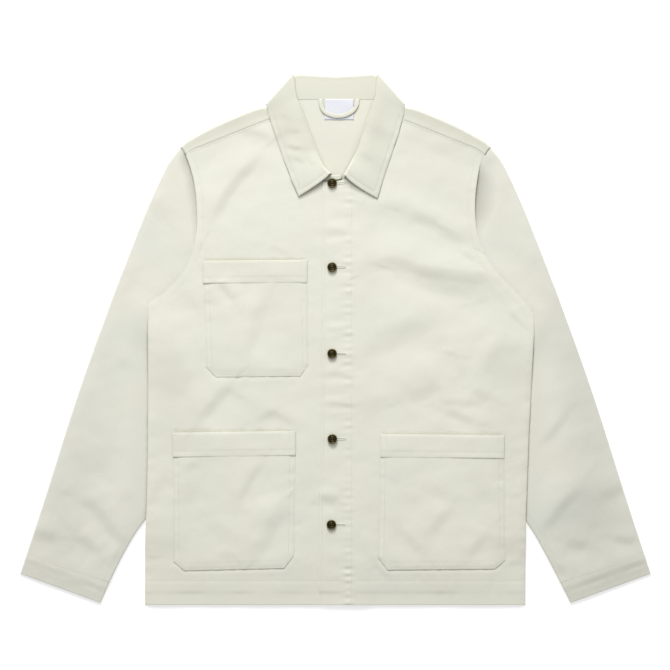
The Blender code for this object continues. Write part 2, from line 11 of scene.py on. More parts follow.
import bmesh
import bpy
import numpy as np
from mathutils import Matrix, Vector


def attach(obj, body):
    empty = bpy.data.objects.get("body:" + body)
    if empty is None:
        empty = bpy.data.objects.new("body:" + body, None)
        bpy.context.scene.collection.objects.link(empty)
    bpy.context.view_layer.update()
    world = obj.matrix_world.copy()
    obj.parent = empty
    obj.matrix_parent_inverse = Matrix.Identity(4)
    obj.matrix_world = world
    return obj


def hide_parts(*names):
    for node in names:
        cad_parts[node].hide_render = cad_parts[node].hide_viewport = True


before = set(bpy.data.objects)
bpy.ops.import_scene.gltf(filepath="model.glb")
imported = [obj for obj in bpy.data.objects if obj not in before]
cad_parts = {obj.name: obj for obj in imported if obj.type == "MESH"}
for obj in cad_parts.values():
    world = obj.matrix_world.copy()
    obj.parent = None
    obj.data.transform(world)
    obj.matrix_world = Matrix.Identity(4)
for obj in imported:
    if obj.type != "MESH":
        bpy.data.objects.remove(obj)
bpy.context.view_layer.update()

MILLIMETRE = 0.001
LEFT, RIGHT = 1, -1     # the wearer's left is at +X
SIDES = (LEFT, RIGHT)

# ---- Cloth and heights, as in the solids ----------------------------------------------
WALL = 0.9              # canvas, one ply
COLLAR_WALL = 1.5       # two plies and interlining
LAYER = 1.3             # from a panel's face to the face of what is sewn on it
FRONT_TOP = 5.8
HEM_TOP = 3.3
SLEEVE_TOP = 4.8
TUCK_TOP = 2.6
BACK_RISE = 3.0
NECK_RISE = 2.0
FRONT_NECK_RISE = 0.8
LAP_RISE = 1.5
LEAST_SPACE = 0.4
TUCK_RISE = 2.2         # of the front over the tucked sleeves
INSIDE_RISE = 1.7       # of the back's inner face in the neck, towards the stand

# ---- Outlines. Columns: x from the centre towards the panel's own side, y ---------------
HEM_Y = -387.6
CUFF_OUTER = (460.5, -341.9)
CUFF_INNER = (343.5, -384.4)
SHOULDER_TIP = (227.5, 280.0)
NECK_POINT = (70.0, 349.5)
BACK_NECK_Y = 352.0
SHOULDER_FOLD = (SHOULDER_TIP, (222.0, 285.5), (213.3, 292.0), (173.0, 313.2),
                 (120.0, 335.4), (98.0, 340.4), NECK_POINT)
SEAM_TIP = (218.5, 269.0)
SEAM_NECK = (71.0, 332.0)
SHOULDER_SEAM = (SEAM_TIP, (209.0, 277.5), (190.0, 285.1), (150.0, 301.0), (96.0, 322.5),
                 SEAM_NECK)
UNDERARM = {LEFT: (289.0, 38.0), RIGHT: (272.5, 52.0)}
ARMHOLE = {
    LEFT: (SEAM_TIP, (210.5, 252.0), (204.5, 213.0), (204.0, 182.0), (207.5, 153.0),
           (217.0, 123.5), (234.0, 98.5), (259.0, 73.0), (279.0, 50.0), UNDERARM[LEFT]),
    RIGHT: (SEAM_TIP, (212.0, 251.0), (206.0, 227.0), (202.5, 195.0), (202.5, 160.0),
            (208.5, 128.0), (218.5, 103.0), (243.0, 73.0), (262.0, 60.5), UNDERARM[RIGHT]),
}
SIDE_SEAM = {
    LEFT: (UNDERARM[LEFT], (289.5, 10.0), (285.5, -80.0), (282.5, -132.0),
           (278.0, -259.0), (277.5, HEM_Y)),
    RIGHT: (UNDERARM[RIGHT], (273.5, 20.0), (273.8, -154.0), (275.2, -227.0),
            (278.0, -300.0), (278.5, HEM_Y)),
}
FRONT_EDGE = {
    LEFT: ((-25.0, HEM_Y), (-25.0, -307.0), (-22.0, -190.0), (-19.5, -95.0), (-19.5, 231.0)),
    RIGHT: ((-12.5, HEM_Y), (-9.5, -95.0), (-9.5, 231.0)),
}
NECKLINE = {
    LEFT: (SEAM_NECK, (66.0, 303.0), (50.0, 268.0), (27.0, 242.0), (4.0, 232.0),
           FRONT_EDGE[LEFT][-1]),
    RIGHT: (SEAM_NECK, (66.0, 303.0), (50.0, 268.0), (27.0, 242.0), (4.0, 232.0),
            FRONT_EDGE[RIGHT][-1]),
}
SLEEVE_CAP = (SHOULDER_TIP, (240.6, 263.0), (256.0, 233.5), (269.4, 204.0), (287.5, 160.0),
              (321.5, 72.5))
OUTER_SLEEVE = (SLEEVE_CAP[-1], (353.5, -15.0), (383.5, -102.5), (425.0, -234.0), CUFF_OUTER)
TUCKED_EDGE = ((262.0, 8.0), (244.0, -32.0), (226.0, -85.0), (224.0, -140.0),
               (236.0, -195.0), (261.0, -240.0))
UNDER_SLEEVE = {LEFT: (*TUCKED_EDGE, (283.5, -272.0), (313.0, -324.5), CUFF_INNER),
                RIGHT: (*TUCKED_EDGE, (285.5, -272.0), (316.5, -325.5), CUFF_INNER)}

# ---- Pockets. Columns: x, y of each corner, anticlockwise from the top left -------------
POCKETS = {
    "chest_pocket": ((-193.5, 115.5), (-188.5, -39.5), (-174.0, -54.5), (-51.5, -53.0),
                     (-40.0, -37.0), (-41.0, 117.0)),
    "pocket_right": ((-237.5, -135.5), (-236.5, -323.5), (-220.5, -337.0), (-75.0, -333.5),
                     (-60.5, -314.0), (-58.0, -133.0)),
    "pocket_left": ((65.0, -137.5), (62.0, -317.0), (76.0, -336.0), (232.5, -334.5),
                    (247.5, -322.0), (246.5, -139.5)),
}
BAND_HEIGHT = {"chest_pocket": 34.0, "pocket_right": 36.5, "pocket_left": 34.5}
POCKET_SIDE = {"chest_pocket": RIGHT, "pocket_right": RIGHT, "pocket_left": LEFT}
# How far a pocket's bottom edge stands off the front
BOTTOM_LIFT = {"chest_pocket": 0.25, "pocket_right": 0.65, "pocket_left": 0.8}

# ---- Creases --------------------------------------------------------------------------------
# Columns: how far the cloth drops across the crease from its upper side, towards the collar,
# to its lower side (a rise is below 0); half the width of that drop; how far the cloth takes
# to level out on each side; and the (x, y) points that the crease runs through.
BODY_CREASES = (
    # right front, above its pockets
    (2.8, 9, 45, (-182, 163), (-169, 190), (-158, 212), (-142, 233), (-122, 255), (-104, 276)),
    (1.0, 6, 25, (-142, 303), (-118, 302), (-94, 295)),
    (0.7, 6, 25, (-100, 135), (-82, 131), (-66, 123)),
    (1.0, 8, 30, (-198, 38), (-210, 57), (-226, 76)),
    (2.2, 36, 55, (-330, -42), (-285, -40), (-240, -44), (-205, -52), (-175, -66)),
    (2.4, 9, 40, (-202, -124), (-176, -92), (-150, -62)),
    (0.9, 6, 25, (-118, -119), (-100, -111), (-82, -101)),
    (0.9, 6, 25, (-106, -104), (-82, -112), (-54, -125)),
    # on the chest pocket
    (2.4, 11, 40, (-129, -36), (-122, 0), (-112, 38), (-94, 68)),
    (2.0, 6, 22, (-174, 83), (-161, 74), (-148, 56)),
    (0.8, 9, 22, (-196, 66), (-180, 60), (-168, 44)),
    # on the right pocket
    (1.8, 7, 30, (-142, -243), (-133, -222), (-125, -206), (-115, -191), (-103, -174)),
    (-1.3, 11, 30, (-116, -240), (-96, -234), (-74, -224)),
    (2.6, 13, 35, (-120, -320), (-106, -298), (-93, -272), (-74, -240)),
    (1.5, 13, 35, (-185, -262), (-168, -280), (-153, -306)),
    (0.7, 7, 20, (-174, -312), (-160, -315), (-146, -313)),
    (0.8, 6, 18, (-223, -193), (-212, -186), (-202, -177)),
    # beside the right pocket, at the side seam
    (0.9, 8, 25, (-278, -246), (-262, -222), (-248, -194)),
    (0.35, 2.2, 8, (-277, -297), (-269, -297), (-260, -298)),
    (0.45, 2.2, 8, (-277, -318), (-266, -318), (-252, -317)),
    # left front, above its pocket
    (2.0, 16, 40, (50, 196), (78, 190), (106, 184), (134, 173)),
    (1.9, 10, 35, (98, 186), (122, 178), (141, 171), (158, 160), (174, 149), (200, 135)),
    (0.8, 5, 15, (184, 128), (194, 123), (205, 115)),
    (2.6, 11, 42, (36, 95), (56, 105), (80, 113), (104, 109), (128, 101), (155, 95),
     (195, 92), (218, 88), (234, 74), (251, 50)),
    (3.2, 17, 55, (96, 98), (128, 88), (160, 79), (195, 73), (224, 64), (248, 44)),
    (1.8, 20, 45, (38, -22), (75, -2), (107, 15), (140, 32), (172, 43)),
    (1.0, 12, 30, (152, 10), (166, -20), (190, -56)),
    (-1.4, 20, 40, (60, -40), (100, -26), (150, -14)),
    (1.7, 13, 42, (100, -88), (120, -80), (140, -70), (160, -62)),
    (1.0, 18, 45, (24, -106), (58, -99), (92, -89), (124, -79)),
    (1.2, 13, 40, (202, -76), (214, -52), (230, -22), (248, 14)),
    (2.2, 36, 50, (205, -30), (240, -38), (290, -42), (330, -40)),
    (1.3, 7, 25, (148, -94), (172, -91), (196, -93), (216, -88)),
    (1.7, 7, 25, (156, -103), (175, -110), (190, -116), (206, -121)),
    (1.1, 8, 25, (197, -73), (212, -79), (228, -87)),
    (0.8, 10, 30, (128, 287), (152, 279), (176, 269)),
    (0.5, 7, 20, (86, 273), (98, 274), (110, 272)),
    # on and beside the left pocket
    (1.5, 9, 30, (86, -270), (108, -292), (133, -318)),
    (1.6, 9, 30, (130, -293), (148, -270), (170, -242)),
    (2.0, 9, 30, (193, -321), (209, -299), (227, -276)),
    (0.6, 9, 25, (92, -226), (108, -230), (124, -236)),
    (0.8, 10, 30, (130, -228), (152, -222), (180, -230)),
    (0.7, 7, 20, (74, -202), (84, -206), (96, -208)),
    (0.8, 7, 20, (35, -276), (40, -300), (45, -326)),
    (1.0, 5, 15, (59, -325), (68, -338), (79, -350)),
    (0.8, 5, 14, (249, -330), (262, -327), (277, -325)),
    (0.6, 5, 14, (254, -228), (266, -228), (277, -228)),
    (0.5, 5, 14, (254, -161), (263, -163), (276, -166)),
    # across the buttoned edge, between the buttons
    (1.0, 7, 12, (-19, 156), (2, 157), (24, 155)),
    (0.7, 4, 9, (-19, 14), (2, 15), (24, 14)),
    (0.9, 5, 10, (-19, -52), (2, -51), (24, -52)),
    (1.0, 5, 10, (-20, -94), (2, -94), (24, -95)),
    (2.2, 9, 14, (-24, -236), (-12, -233), (4, -238)),
)
SLEEVE_CREASES = (
    # right sleeve
    (2.3, 10, 38, (-380, -230), (-354, -243), (-338, -262), (-322, -284), (-302, -301)),
    (2.1, 10, 30, (-448, -284), (-426, -286), (-402, -289)),
    (2.2, 10, 30, (-378, -284), (-360, -299), (-343, -315)),
    (1.3, 9, 30, (-330, -322), (-318, -314), (-308, -300)),
    (1.6, 24, 45, (-366, -196), (-346, -176), (-330, -146)),
    (0.9, 10, 26, (-324, -28), (-306, -36), (-288, -42)),
    (0.8, 9, 24, (-320, -229), (-306, -231), (-292, -232)),
    (1.0, 12, 30, (-275, 212), (-264, 196), (-250, 178)),
    # left sleeve
    (1.6, 7, 26, (284, -156), (298, -152), (311, -141), (326, -124), (345, -98)),
    (2.2, 9, 45, (294, -290), (318, -260), (341, -234), (362, -206)),
    (2.2, 34, 50, (306, -300), (345, -262), (388, -236), (430, -226)),
    (1.4, 10, 26, (384, -232), (400, -225), (424, -212)),
    (1.8, 9, 25, (336, -294), (352, -299), (370, -303)),
    (1.6, 7, 20, (402, -289), (420, -293), (442, -294)),
    (0.9, 8, 20, (318, -334), (328, -337), (340, -338)),
    (1.0, 12, 30, (262, 18), (290, 12), (318, 14)),
)
# Columns: as above, on the collar's leaf
COLLAR_CREASES = (
    (1.2, 2.4, 10, (-73, 286), (-62, 280), (-48, 279)),
    (1.0, 2.4, 9, (-61, 267), (-53, 262), (-44, 256)),
    (0.7, 3.0, 12, (-68, 305), (-58, 304), (-50, 302)),
    (0.6, 3.0, 10, (-46, 268), (-38, 262), (-30, 252)),
    (0.6, 3.5, 12, (-84, 330), (-74, 326), (-64, 318)),
    (0.9, 8.0, 22, (54, 312), (64, 306), (78, 292)),
    (0.7, 5.0, 16, (34, 275), (46, 266), (58, 258)),
)

# ---- Painted light and shade ----------------------------------------------------------------
# Painted light and shade: soft patches where the cloth's colour is made paler or deeper, to
# stand in for light and shade on it. Columns: how much paler, its reach along and across,
# its turn in degrees, x, y.
PAINTED_LIGHT_AND_SHADE = (
    # right sleeve
    (0.03, 120, 22, 84, -306, -130),
    (-0.03, 130, 30, 72, -388, -190),
    (-0.03, 60, 45, 0, -395, -290),
    (-0.02, 60, 26, 70, -262, 195),
    (-0.015, 80, 14, -22, -400, -346),
    # left sleeve
    (0.04, 90, 24, 100, 314, -70),
    (0.03, 90, 26, 95, 306, -215),
    (-0.11, 62, 55, 0, 365, -270),
    (-0.03, 90, 30, 110, 345, 20),
    (-0.05, 90, 34, 105, 375, -140),
    (-0.03, 60, 200, 0, 360, 20),
    (-0.09, 80, 14, 22, 402, -345),
    # fronts
    (-0.05, 95, 42, -80, -240, -80),
    (-0.03, 100, 40, 0, -118, 110),
    (-0.025, 60, 40, 65, -130, 240),
    (-0.05, 100, 42, 90, 245, -85),
    (-0.05, 85, 50, 0, 135, 245),
    (-0.035, 70, 25, -10, 165, 140),
    (-0.03, 120, 25, 0, 150, -365),
    (0.03, 30, 30, 0, 10, -372),
    # shoulders
    (-0.07, 95, 26, -27, 158, 300),
    (-0.07, 95, 26, 27, -158, 300),
    (-0.08, 75, 7, -22, 157, 318),
    (-0.05, 75, 7, 22, -157, 318),
    # collar
    (-0.05, 42, 10, 72, 60, 308),
    (0.03, 25, 9, 75, 86, 300),
    (-0.035, 25, 14, -65, -76, 322),
    (-0.06, 60, 4, 68, 36, 298),
    (-0.05, 60, 4, -68, -36, 298),
)

# ---- Sewing ---------------------------------------------------------------------------------
STITCH_PITCH = 3.2
STITCH_LENGTH = 2.5
STITCH_HALF_WIDTH = 0.26
STITCH_HALF_THICKNESS = 0.18
HEM_STITCH = 34.5       # above the hem's edge
CUFF_STITCH = 28.5      # above the cuff's edge
HEM_ROLL = 18.5         # where the hem's turned ply ends inside it and the cloth drops
CUFF_ROLL = 17.0
# Columns: depth and reach of the trough beside the upper armhole
CAP_TROUGH = {LEFT: (3.2, 14.0), RIGHT: (2.4, 9.0)}
CAP_BULGE = {LEFT: 0.8, RIGHT: 0.35}     # of the front's edge beside it
CAP_SWELL = {LEFT: 0.7, RIGHT: 0.4}     # of the sleeve's head beyond it
# Painted shade on the sleeve beside the upper armhole: how much deeper its colour is made, and
# its reach
CAP_PAINTED_SHADE = {LEFT: (0.33, 29.0), RIGHT: (0.25, 13.0)}   # how much deeper, and its reach
CAP_SPAN = {LEFT: (130.0, 205.0, 228.0, 264.0), RIGHT: (100.0, 225.0, 262.0, 284.0)}
ARMHOLE_STITCH = 9.5
SEAM_EDGE_STITCH = 2.0
FRONT_EDGE_STITCH = 4.0
PLACKET_X = 23.5        # inner stitch line of the left front's facing
PLACKET_TOP = 226.0     # where that line ends, under the collar
POCKET_STITCHES = (1.8, 8.4)
BAND_STITCH = 9.0       # above the band's lower edge
# How far each band's lower edge stands off its pocket. Columns: x, height
BAND_STANDS = {
    "chest_pocket": ((-193, 0.8), (-168, 0.75), (-150, 0.4), (-115, 0.3), (-85, 0.1),
                     (-60, 0.3), (-41, 0.2)),
    "pocket_right": ((-237, 0.7), (-190, 0.4), (-150, 0.1), (-118, 0.1), (-95, 0.5), (-58, 0.6)),
    "pocket_left": ((65, 0.25), (110, 0.2), (160, 0.3), (180, 0.8), (235, 0.9), (246, 0.5)),
}
BAND_INSET = 0.4        # of the band's ends from its pocket's sides
TACK_LENGTH = 9.0
TACK_DEPTH = 10.0
COLLAR_STITCH = 6.0

# ---- Collar. Columns: x, y ------------------------------------------------------------------
ROLL_LINE = {
    LEFT: ((12.5, 240.5), (19.5, 253.0), (33.0, 279.5), (45.0, 318.0), (59.0, 357.0)),
    RIGHT: ((7.0, 243.0), (17.5, 253.5), (28.5, 279.5), (43.0, 318.0), (58.0, 357.0)),
}
LEAF_EDGE = {
    LEFT: ((61.0, 206.5), (70.0, 236.0), (80.0, 266.0), (92.0, 300.0), (99.0, 327.0)),
    RIGHT: ((53.5, 209.5), (64.0, 233.0), (75.5, 262.5), (87.5, 298.0), (97.5, 327.0)),
}
COLLAR_START = {LEFT: 0.27, RIGHT: 0.10}
COLLAR_TURN_START = 0.985
COLLAR_SECTIONS = 9
# Columns: x and y at the neck seam, at the roll line and at the leaf's edge.
COLLAR_TURN = (63.0, 351.0, 61.0, 385.2, 100.0, 342.0)
COLLAR_BACK = ((58.0, 351.0, 53.0, 387.8, 90.0, 327.5),
               (32.0, 351.0, 30.0, 386.4, 52.0, 317.5),
               (0.0, 351.0, 0.0, 384.7, 0.0, 315.0))
TURN_STEPS = 4
LEAF_RISE = 1.6
LEAF_END_LIFT = 5.4     # the leaf's points curl up off the fronts
# Of the leaf's outer edge. Columns: its rise off the fronts, its share of the points' curl
LEAF_EDGE_STANDS = {LEFT: (0.7, 0.12), RIGHT: (1.0, 0.3)}
LEAF_BOW = {LEFT: 2.6, RIGHT: 1.6}      # of its front edges, towards the hem
STAND_BACK_Z = 4.6
LEAF_BACK_Z = COLLAR_WALL / 2
LEAF_TURN_REACH = 1.6
STAND_TURN_REACH = 0.8

# ---- Small pieces -----------------------------------------------------------------------------
# Columns: x, y
BUTTONS = ((-5.0, 228.5), (-5.0, 105.8), (-5.0, -20.2), (-4.6, -144.7), (-6.0, -269.7))
# Columns: radius, height above the button's foot; a ring-faced metal button in profile
BUTTON_PROFILE = ((0.0, 3.3), (0.8, 3.3), (1.3, 3.05), (1.7, 2.6), (2.3, 2.6), (2.8, 3.0),
                  (3.3, 3.1), (3.8, 2.9), (4.2, 2.55), (4.7, 2.6), (5.2, 3.3), (5.7, 3.6),
                  (6.3, 3.5), (6.8, 3.0), (7.0, 2.3), (6.8, 1.5), (6.0, 1.0), (3.0, 0.6),
                  (2.6, 0.0), (0.0, 0.0))
BUTTON_RADIUS = 7.0
BUTTON_STEPS = 48       # round it
BUTTONHOLE_LENGTH = 19.0
LABEL_X = (-16.0, 26.5)
LABEL_Y = (321.0, 351.2)
LOOP_WIDTH = 5.6
LOOP_STEPS, LOOP_ROUND = 90, 20     # along it and round it
LOOP_PATH = ((-21.5, 351.2), (-20.5, 341.0), (-16.5, 333.5), (-9.0, 328.8), (2.0, 326.3),
             (14.0, 327.8), (25.0, 333.8), (30.8, 342.5), (32.0, 351.2))
# Columns: x, y of the lower edge, y of the upper edge
STAND_END = ((-18.0, 232.3, 240.0), (-6.0, 232.3, 240.5), (4.0, 233.4, 241.0),
             (9.0, 235.6, 241.0))


# ==== Curves and grids =========================================================================
def spline(values, t):
    """Rows of values read at the places t, 0 to the last row, on a smooth curve through them."""
    values = np.asarray(values, float)
    before = 2 * values[:1] - values[1:2]
    after = 2 * values[-1:] - values[-2:-1]
    rows = np.concatenate([before, values, after])
    t = np.asarray(t, float)
    whole = np.clip(np.floor(t).astype(int), 0, len(values) - 2)
    part = (t - whole).reshape((-1,) + (1,) * (values.ndim - 1))
    a, b, c, d = (rows[whole + k] for k in range(4))
    return 0.5 * (2 * b + (c - a) * part + (2 * a - 5 * b + 4 * c - d) * part ** 2
                  + (3 * b - a - 3 * c + d) * part ** 3)


def smooth(table, steps_each=16):
    """A fine polyline on the smooth curve through a table's points."""
    return spline(table, np.linspace(0, len(table) - 1, (len(table) - 1) * steps_each + 1))


def lengths(points):
    """The distance from the first point to each point, along the line."""
    steps = np.linalg.norm(np.diff(points[:, :2], axis=0), axis=1)
    return np.concatenate([[0.0], np.cumsum(steps)])


def at(points, shares):
    """Points at shares, 0 to 1, of a polyline's length."""
    run = lengths(points)
    wanted = np.asarray(shares) * run[-1]
    return np.column_stack([np.interp(wanted, run, column) for column in points.T])


def divide(table, count):
    """Points that part the smooth curve through a table into even lengths."""
    return at(smooth(table), np.linspace(0, 1, count + 1))


def on_side(points, side):
    """Half-outline points, mirrored to the right when that is their side."""
    return np.asarray(points, float) * (side, 1)


def stations(length, step, near_start=(), near_end=()):
    """Shares of a length: extra places near its ends, in millimetres, and even steps between."""
    first = max(near_start, default=0.0)
    last = length - max(near_end, default=0.0)
    middle = np.linspace(first, last, max(int(round((last - first) / step)), 1) + 1)
    places = sorted({0.0, length, *near_start, *(length - d for d in near_end), *middle})
    return np.array(places) / length


def coons(bottom, top, left, right, ease=1.0):
    """A grid of (x, y) that fills four edges; facing edges have as many points. With an ease
    above 1 the top's shape is felt less far down."""
    bottom, top, left, right = (np.asarray(edge, float) for edge in (bottom, top, left, right))
    across = (lengths(bottom) / lengths(bottom)[-1] + lengths(top) / lengths(top)[-1]) / 2
    up = (lengths(left) / lengths(left)[-1] + lengths(right) / lengths(right)[-1]) / 2
    up = up ** ease
    u, v = across[None, :, None], up[:, None, None]
    ruled = (1 - v) * bottom[None] + v * top[None] + (1 - u) * left[:, None] + u * right[:, None]
    corners = (1 - v) * ((1 - u) * bottom[0] + u * bottom[-1])
    return ruled - corners - v * ((1 - u) * top[0] + u * top[-1])


def evened(grid, rounds=250):
    """The grid with the same edges and its inner points spread evenly, uncrossed."""
    grid = grid.copy()
    for _ in range(rounds):
        east, west = grid[1:-1, 2:], grid[1:-1, :-2]
        north, south = grid[2:, 1:-1], grid[:-2, 1:-1]
        across, up = (east - west) / 2, (north - south) / 2
        twist = (grid[2:, 2:] - grid[2:, :-2] - grid[:-2, 2:] + grid[:-2, :-2]) / 4
        a = (up ** 2).sum(2, keepdims=True)
        b = (across * up).sum(2, keepdims=True)
        c = (across ** 2).sum(2, keepdims=True)
        middle = (a * (east + west) + c * (north + south) - 2 * b * twist) / (2 * (a + c))
        grid[1:-1, 1:-1] += 0.7 * (middle - grid[1:-1, 1:-1])
    return grid


def resampled(grid, down, across):
    """A grid read at places between its rows and between its columns."""
    grid = spline(grid, down)
    return spline(grid.transpose(1, 0, 2), across).transpose(1, 0, 2)


def leftward(points):
    """The direction to the left of a line as it runs, at each of its points."""
    along = np.gradient(points, axis=0)
    along /= np.linalg.norm(along, axis=1, keepdims=True)
    return np.column_stack([-along[:, 1], along[:, 0]])


def pushed_left(points, gap):
    """A polyline moved square to itself, to its left as it runs."""
    points = np.asarray(points, float)
    return points + gap * leftward(points)


def nearest(x, y, line):
    """How far points lie from a line (left of it is above 0), and how far along it."""
    best = np.full(x.shape, 1e9)
    side, along = np.ones(x.shape), np.zeros(x.shape)
    for (x0, y0), (x1, y1), start in zip(line, line[1:], lengths(line)):
        dx, dy = x1 - x0, y1 - y0
        length = math.hypot(dx, dy)
        if length < 1e-6:
            continue
        share = np.clip(((x - x0) * dx + (y - y0) * dy) / length ** 2, 0, 1)
        away = np.hypot(x - x0 - share * dx, y - y0 - share * dy)
        closer = away < best
        best = np.where(closer, away, best)
        along = np.where(closer, start + share * length, along)
        side = np.where(closer, np.where(dx * (y - y0) - dy * (x - x0) >= 0, 1.0, -1.0), side)
    return best * side, along


# ==== Heights ==================================================================================
def ramp(value, start, end):
    """0 at start, 1 at end and eased between them; start may be above end."""
    share = np.clip((value - start) / (end - start), 0.0, 1.0)
    return share * share * (3.0 - 2.0 * share)


def x_at(table, y):
    """The x of an outline table at a height y."""
    rows = np.array(sorted((row[1], row[0]) for row in table))
    return np.interp(y, rows[:, 0], rows[:, 1])


def side_x(x, y):
    """The side seam's distance from the centre, on each point's own side."""
    return np.where(x >= 0, x_at(SIDE_SEAM[LEFT], y), x_at(SIDE_SEAM[RIGHT], y))


def over_tuck(x, y, margin):
    """1 where the body lies on a tucked sleeve, with a margin inside its edge, else 0."""
    inner = x_at(TUCKED_EDGE, np.clip(y, TUCKED_EDGE[-1][1], TUCKED_EDGE[0][1]))
    across = ramp(np.abs(x), inner - margin - 38.0, inner - margin)
    return across * ramp(y, 92.0, 2.0) * ramp(y, -322.0, -282.0)


def at_neck(x, y):
    """1 over the collar that is folded under the back's neck, else 0."""
    return ramp(y, 278.0, 302.0) * ramp(np.abs(x), 142.0, 114.0)


def back_bottom(x, y):
    """The back's outer side, which faces down."""
    return np.maximum(BACK_RISE * over_tuck(x, y, 28.0), NECK_RISE * at_neck(x, y))


def creased(x, y, table):
    """What a table of creases adds to a height: the cloth rises to each, drops across it and
    levels out."""
    total = np.zeros(x.shape)
    for drop, half, level, *points in table:
        if points[0][0] > points[-1][0]:
            points = points[::-1]
        line = smooth(points, 8)
        low, high = line.min(0) - half - level, line.max(0) + half + level
        inside = (x > low[0]) & (x < high[0]) & (y > low[1]) & (y < high[1])
        if not inside.any():
            continue
        away, along = nearest(x[inside], y[inside], line)
        share = along / lengths(line)[-1]
        fade = 0.2 + 0.8 * ramp(share, 0.0, 0.3) * ramp(share, 1.0, 0.7)
        step = ramp(away, -half, half) - 0.5
        total[inside] += drop * fade * step * ramp(np.abs(away), half + level, half * 0.8)
    return total


def painted_tone_at(x, y):
    """Painted light and shade in the cloth's colour at each point, about 1: paler and deeper
    patches, and painted shade, the deepest, where a sleeve's head lies sunk beside the upper
    armhole."""
    tone = np.ones(x.shape)
    for paler, along, across, turn, cx, cy in PAINTED_LIGHT_AND_SHADE:
        turn = math.radians(turn)
        run = ((x - cx) * math.cos(turn) + (y - cy) * math.sin(turn)) / along
        side = ((y - cy) * math.cos(turn) - (x - cx) * math.sin(turn)) / across
        tone += paler * np.exp(-run ** 2 - side ** 2)
    for side, (deeper, reach) in CAP_PAINTED_SHADE.items():
        near = (side * x > 195.0) & (y > 95.0)
        away = nearest(x[near], y[near], armhole_line(side))[0] * side
        share = cap_share(side, y[near]) * (away > 0.05)
        tone[near] -= deeper * share * np.clip(1.0 - away / (2.0 + reach * share), 0, 1)
    return tone


def waves(x, y, wavelength, seed):
    """Soft uneven waves, about -1 to 1, of roughly one wavelength."""
    draw = np.random.default_rng(seed)
    total = np.zeros(x.shape)
    for _ in range(9):
        angle, phase = draw.uniform(0, 2 * math.pi, 2)
        turns = 2 * math.pi / (wavelength * draw.uniform(0.7, 1.5))
        total += np.sin(turns * (x * math.cos(angle) + y * math.sin(angle)) + phase)
    return total / 3.0


def groove(distance, place, depth=0.3, width=1.1):
    """The line that a row of stitches pulls into the cloth."""
    return -depth * np.exp(-((distance - place) / width) ** 2)


def pucker(distance, along, place, depth, seed, wavelength=9.0, reach=7.0):
    """Short ripples across a row of stitches, uneven along it."""
    spread = np.exp(-((distance - place) / reach) ** 2)
    return depth * spread * waves(along, along * 0.0, wavelength, seed)


def rounded(distance, drop=0.9, radius=1.6):
    """How far a folded edge turns down at a distance from it."""
    share = np.clip(1.0 - distance / radius, 0.0, 1.0)
    return -drop * share ** 2


def armhole_line(side):
    """A fine line down the armhole, from the shoulder seam to the underarm."""
    return on_side(smooth(ARMHOLE[side]), side)


def side_line(side):
    """A fine line down the side seam, from the underarm to the hem."""
    return on_side(smooth(SIDE_SEAM[side]), side)


def body_edge(side):
    """The armhole and the side seam in one line, from the shoulder down."""
    return np.vstack([armhole_line(side), side_line(side)[1:]])


def side_share(side, y):
    """0 down to the underarm, 1 where the body's side lies free over the sleeve."""
    underarm = UNDERARM[side][1]
    return ramp(y, underarm + 4.0, underarm - 76.0)


def front_base(side, x, y):
    """A front's face without its sewing: plateau, hem, lap and creases."""
    seam = side_x(x, y)
    from_hem = ramp(y, HEM_Y, HEM_Y + 75.0)
    free_side = ramp(np.abs(x), seam - 60.0, seam) * ramp(y, -250.0, -380.0)
    plateau = from_hem * (1.0 - free_side)
    height = HEM_TOP + (FRONT_TOP - HEM_TOP) * plateau
    height += FRONT_NECK_RISE * at_neck(x, y)
    relief = creased(x, y, BODY_CREASES)
    relief += 0.30 * waves(x, y, 95.0, 3) + 0.10 * waves(x, y, 34.0, 5)
    relief += 0.035 * waves(x, y, 13.0, 8)
    height += relief * (0.35 + 0.65 * plateau) + TUCK_RISE * over_tuck(x, y, 16.0)
    height = np.maximum(height, back_bottom(x, y) + 2 * WALL + LEAST_SPACE)
    if side == LEFT:
        height += LAP_RISE * ramp(x, 66.0, 34.0)
    return height


def pocket_seams(side, x, y):
    """What the pockets sewn on a front do to its face: it is pulled in round their seams
    and lies lower under them."""
    total = np.zeros(x.shape)
    for name, corners in POCKETS.items():
        if POCKET_SIDE[name] != side:
            continue
        margin = 12.0
        low, high = np.min(corners, 0) - margin, np.max(corners, 0) + margin
        near = (x > low[0]) & (x < high[0]) & (y > low[1]) & (y < high[1])
        away, along = nearest(x[near], y[near], np.array(corners, float))
        under = (away > 0) & (y[near] < high[1] - margin)
        away = np.abs(away)
        bottom = ramp(y[near], low[1] + 60.0, low[1] + 30.0)
        pull = -(0.15 + 0.15 * bottom) * np.exp(-(away / 3.2) ** 2)
        pull += 0.08 * np.exp(-((away - 6.5) / 3.0) ** 2)
        pull += 0.10 * waves(along, along * 0.0, 15.0, 17) * np.exp(-(away / 8.0) ** 2)
        pull *= ramp(y[near], high[1] - 9.0, high[1] - 18.0)
        total[near] += np.where(under, -0.8 * ramp(away, 0.2, 3.0), pull)
    return total


def base_at(side, x, y):
    """The height of a front's face, without its sewing, at one place."""
    return float(front_base(side, np.array([x]), np.array([y]))[0])


